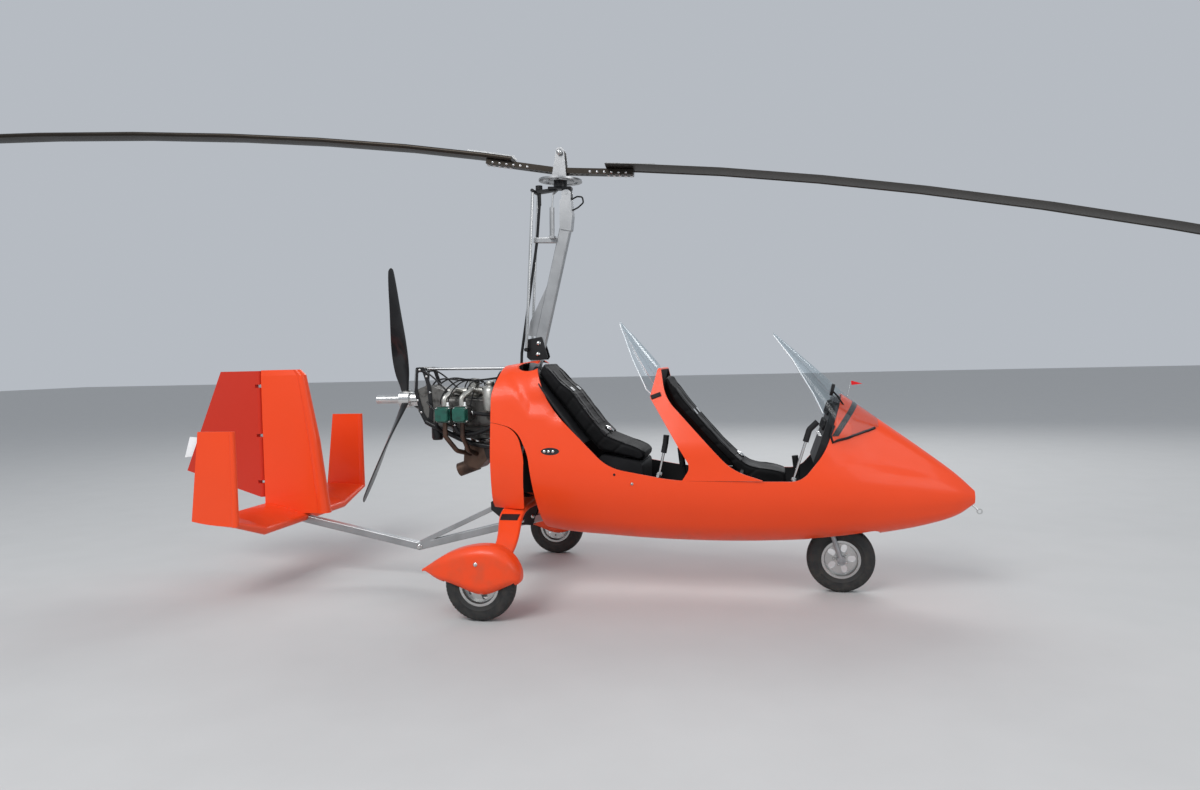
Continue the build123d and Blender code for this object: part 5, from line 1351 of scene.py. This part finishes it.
def add_bar_side_bolts():
    """Bolts where level rays meet the rotor bar's two sides."""
    tree = skin_of("hub_bar")
    starts = [(side, on_rotor(both_blades(BAR_SPOTS), side * 0.3, -0.004)) for side in SIDES]
    rays = [(start, -ASIDE * side) for side, row in starts for start in row]
    hits = [tree.ray_cast(Vector(start), Vector(aim))[:2] for start, aim in rays]
    places, normals = np.array([hit for hit in hits if hit[0] is not None]).transpose(1, 0, 2)
    print("bar bolts", len(places))
    add_bolts("bar_side_bolts", places, normals, 0.0065, body="rotor")


root_radii = both_blades(ROOT_SPOTS)
add_bolts("blade_root_nuts", on_rotor(root_radii, 0.0, BAR_UNDERSIDE), -UP, 0.0085, body="rotor")
add_bolts("blade_root_bolts", on_rotor(root_radii, 0.0, ROOT_TOP), UP, 0.0085, body="rotor")
add_root_straps()
add_bar_side_bolts()
teeter_ends = np.array([ASIDE, -ASIDE])
add_bolts("teeter_nuts", TEETER + teeter_ends * TEETER_HALF, teeter_ends, 0.014, body="rotor_hub")

# %% [markdown]
# Bolts and fittings over the rest of the aircraft: the propeller hub, the
# mast bracket, the keel's knee, the mast's foot, the wheels, and the
# fairings. Where a surface is curved, a level ray finds the place and the
# direction of the bolt.

# %% Other fasteners
# Faces on which bolts sit, from the middle: the hub's behind its centre,
# the others to the side
HUB_FACE, MAST_SIDE, KEEL_SIDE, RIM_FACE, NOSE_RIM_FACE = -0.0355, 0.0315, 0.025, 0.8285, 0.0085
HUB_RING, LUG_RING, LUG_TURN = 0.042, 0.040, 0.63
BRACKET_SPOTS = [(-0.190, 1.540), (-0.196, 1.470)]
KNEE_SPOTS = [(-1.051, 0.216)]
FOOT_SPOTS = [(-0.500, 0.500), (-0.445, 0.470), (-0.330, 0.400), (-0.260, 0.430)]
PLUG_SPOT, CAP_SPOT, FAIRING_SPOT = [(0.343, 0.747)], [(0.448, 0.693)], [(-0.330, 0.330)]


def lug_spots(x):
    angles = circle(5) + LUG_TURN
    return [(x + LUG_RING * math.cos(a), AXLE_HEIGHT + LUG_RING * math.sin(a)) for a in angles]


def found_on(node, spots, sides):
    """Places and normals on a node's sides at spots (x, z)."""
    tree = skin_of(node)
    found = [on_side(tree, spots, side) for side in sides]
    return map(np.concatenate, zip(*found))


hub_bolts = PROP_CENTRE + [(HUB_FACE, HUB_RING * math.cos(a), HUB_RING * math.sin(a)) for a in circle(6)]
add_bolts("prop_hub_bolts", hub_bolts, (-1, 0, 0), 0.008, body="propeller")
add_side_bolts("bracket_bolts", MAST_SIDE, BRACKET_SPOTS, 0.011)
add_side_bolts("knee_bolts", KEEL_SIDE, KNEE_SPOTS, 0.015)
add_side_bolts("foot_bolts", MAST_SIDE, FOOT_SPOTS, 0.009)
for label, side in LEFT_AND_RIGHT:
    lugs = np.array([(x, side * RIM_FACE, z) for x, z in lug_spots(MAIN_AXLE)])
    add_bolts(f"wheel_bolts_{label}", lugs, (0, side, 0), 0.0055, body=f"main_wheel_{label}")
add_side_bolts("wheel_bolts_nose", NOSE_RIM_FACE, lug_spots(NOSE_AXLE), 0.0055, "nose_wheel")
add_bolts("pod_plugs", *found_on("pod_skin", PLUG_SPOT, SIDES), 0.0055, "panel_black")
add_bolts("pod_caps", *found_on("pod_skin", CAP_SPOT, SIDES), 0.0065, "intake_pale")
for label, side in LEFT_AND_RIGHT:
    places, normals = found_on(f"wheel_fairing_{label}", FAIRING_SPOT, [side])
    add_bolts(f"fairing_bolt_{label}", places, normals, 0.009)

# %% [markdown]
# Last, small things on the pod: the oval lamps with their bright
# reflectors, and the red wind vane on its stalk ahead of the windscreen. The
# vane is a stiff painted plate, cut to a long triangle.

# %% Lamps and wind vane
LAMP_ROW = along_line([(-0.086, 0.883), (-0.032, 0.883)], 3)
LAMP_DOME = [(0.0098, 0.0), (0.0096, 0.0018), (0.0072, 0.0040), (0.0036, 0.0052), (0.0004, 0.0056)]
STALK = [[(1.693, 0.0, 1.164), (1.700, 0.0, 1.185), (1.719, 0.0, 1.268)]]
VANE = np.array([(1.717, 0.0, 1.268), (1.722, 0.0, 1.240), (1.784, 0.0, 1.247)])
VANE_FACES = [(0, 1, 2), (5, 4, 3), (0, 3, 4, 1), (1, 4, 5, 2), (2, 5, 3, 0)]
VANE_HALF = ACROSS * 0.0012
add_turned("lamp_domes", LAMP_DOME, *found_on("side_lamps", LAMP_ROW, SIDES), 18, "polished_steel")
add_hoses("vane_stalk", STALK, 0.0022, "polished_steel", wire=True)
vane_red = moulded("vane_red", (0.55, 0.008, 0.012), 0.4, 200.0, 0.00005, 0.3)
vane = new_object("wind_vane", [*(VANE + VANE_HALF), *(VANE - VANE_HALF)], VANE_FACES, vane_red)
settle(vane)

# %% [markdown]
# The stage is a plain pale floor under a pale surround, lit by a
# broad soft key from the camera's left, as on an overcast day with the sun
# high behind the photographer, and two weaker panels that draw long soft
# reflections along the gloss pod. They are large area lights, so shadows
# have wide soft edges.

# %% Stage and light
FLOOR_HALF = 60.0
# Each light: its place, the point it faces, its size and its power in watts
LIGHTS = {
    "key": ((-3.0, -8.0, 9.0), (0.0, 0.0, 0.9), (6.0, 6.0), 800),
    "fill": ((8.0, -5.0, 4.0), (0.8, 0.0, 0.8), (5.0, 4.0), 150),
    "rim": ((1.0, 9.0, 7.0), (0.0, 0.0, 1.2), (10.0, 3.0), 450),
}


def add_floor():
    pale = Finish("floor_pale")
    tint = pale.mix(pale.noise(3.0, 5.0), (0.50, 0.50, 0.495), (0.54, 0.54, 0.535))
    corners = np.array([(-1, -1, 0), (1, -1, 0), (1, 1, 0), (-1, 1, 0)]) * FLOOR_HALF
    new_object("studio_floor", corners, [(0, 1, 2, 3)], pale.done(color=tint, roughness=0.75))


def add_panel(name, place, aim, size, power):
    data = bpy.data.lights.new(name, "AREA")
    data.shape = "RECTANGLE"
    data.size, data.size_y = size
    data.energy = power
    lamp = link(name, data)
    lamp.location = place
    lamp.rotation_euler = (Vector(aim) - Vector(place)).to_track_quat("-Z", "Y").to_euler()


def add_surround():
    world = bpy.data.worlds.new("surround")
    world.use_nodes = True
    sky = world.node_tree.nodes["Background"].inputs
    sky["Color"].default_value = (0.78, 0.83, 0.9, 1.0)
    sky["Strength"].default_value = 0.6
    bpy.context.scene.world = world


bpy.context.scene.view_settings.view_transform = "Standard"
add_floor()
add_surround()
for name, settings in LIGHTS.items():
    add_panel(name, *settings)
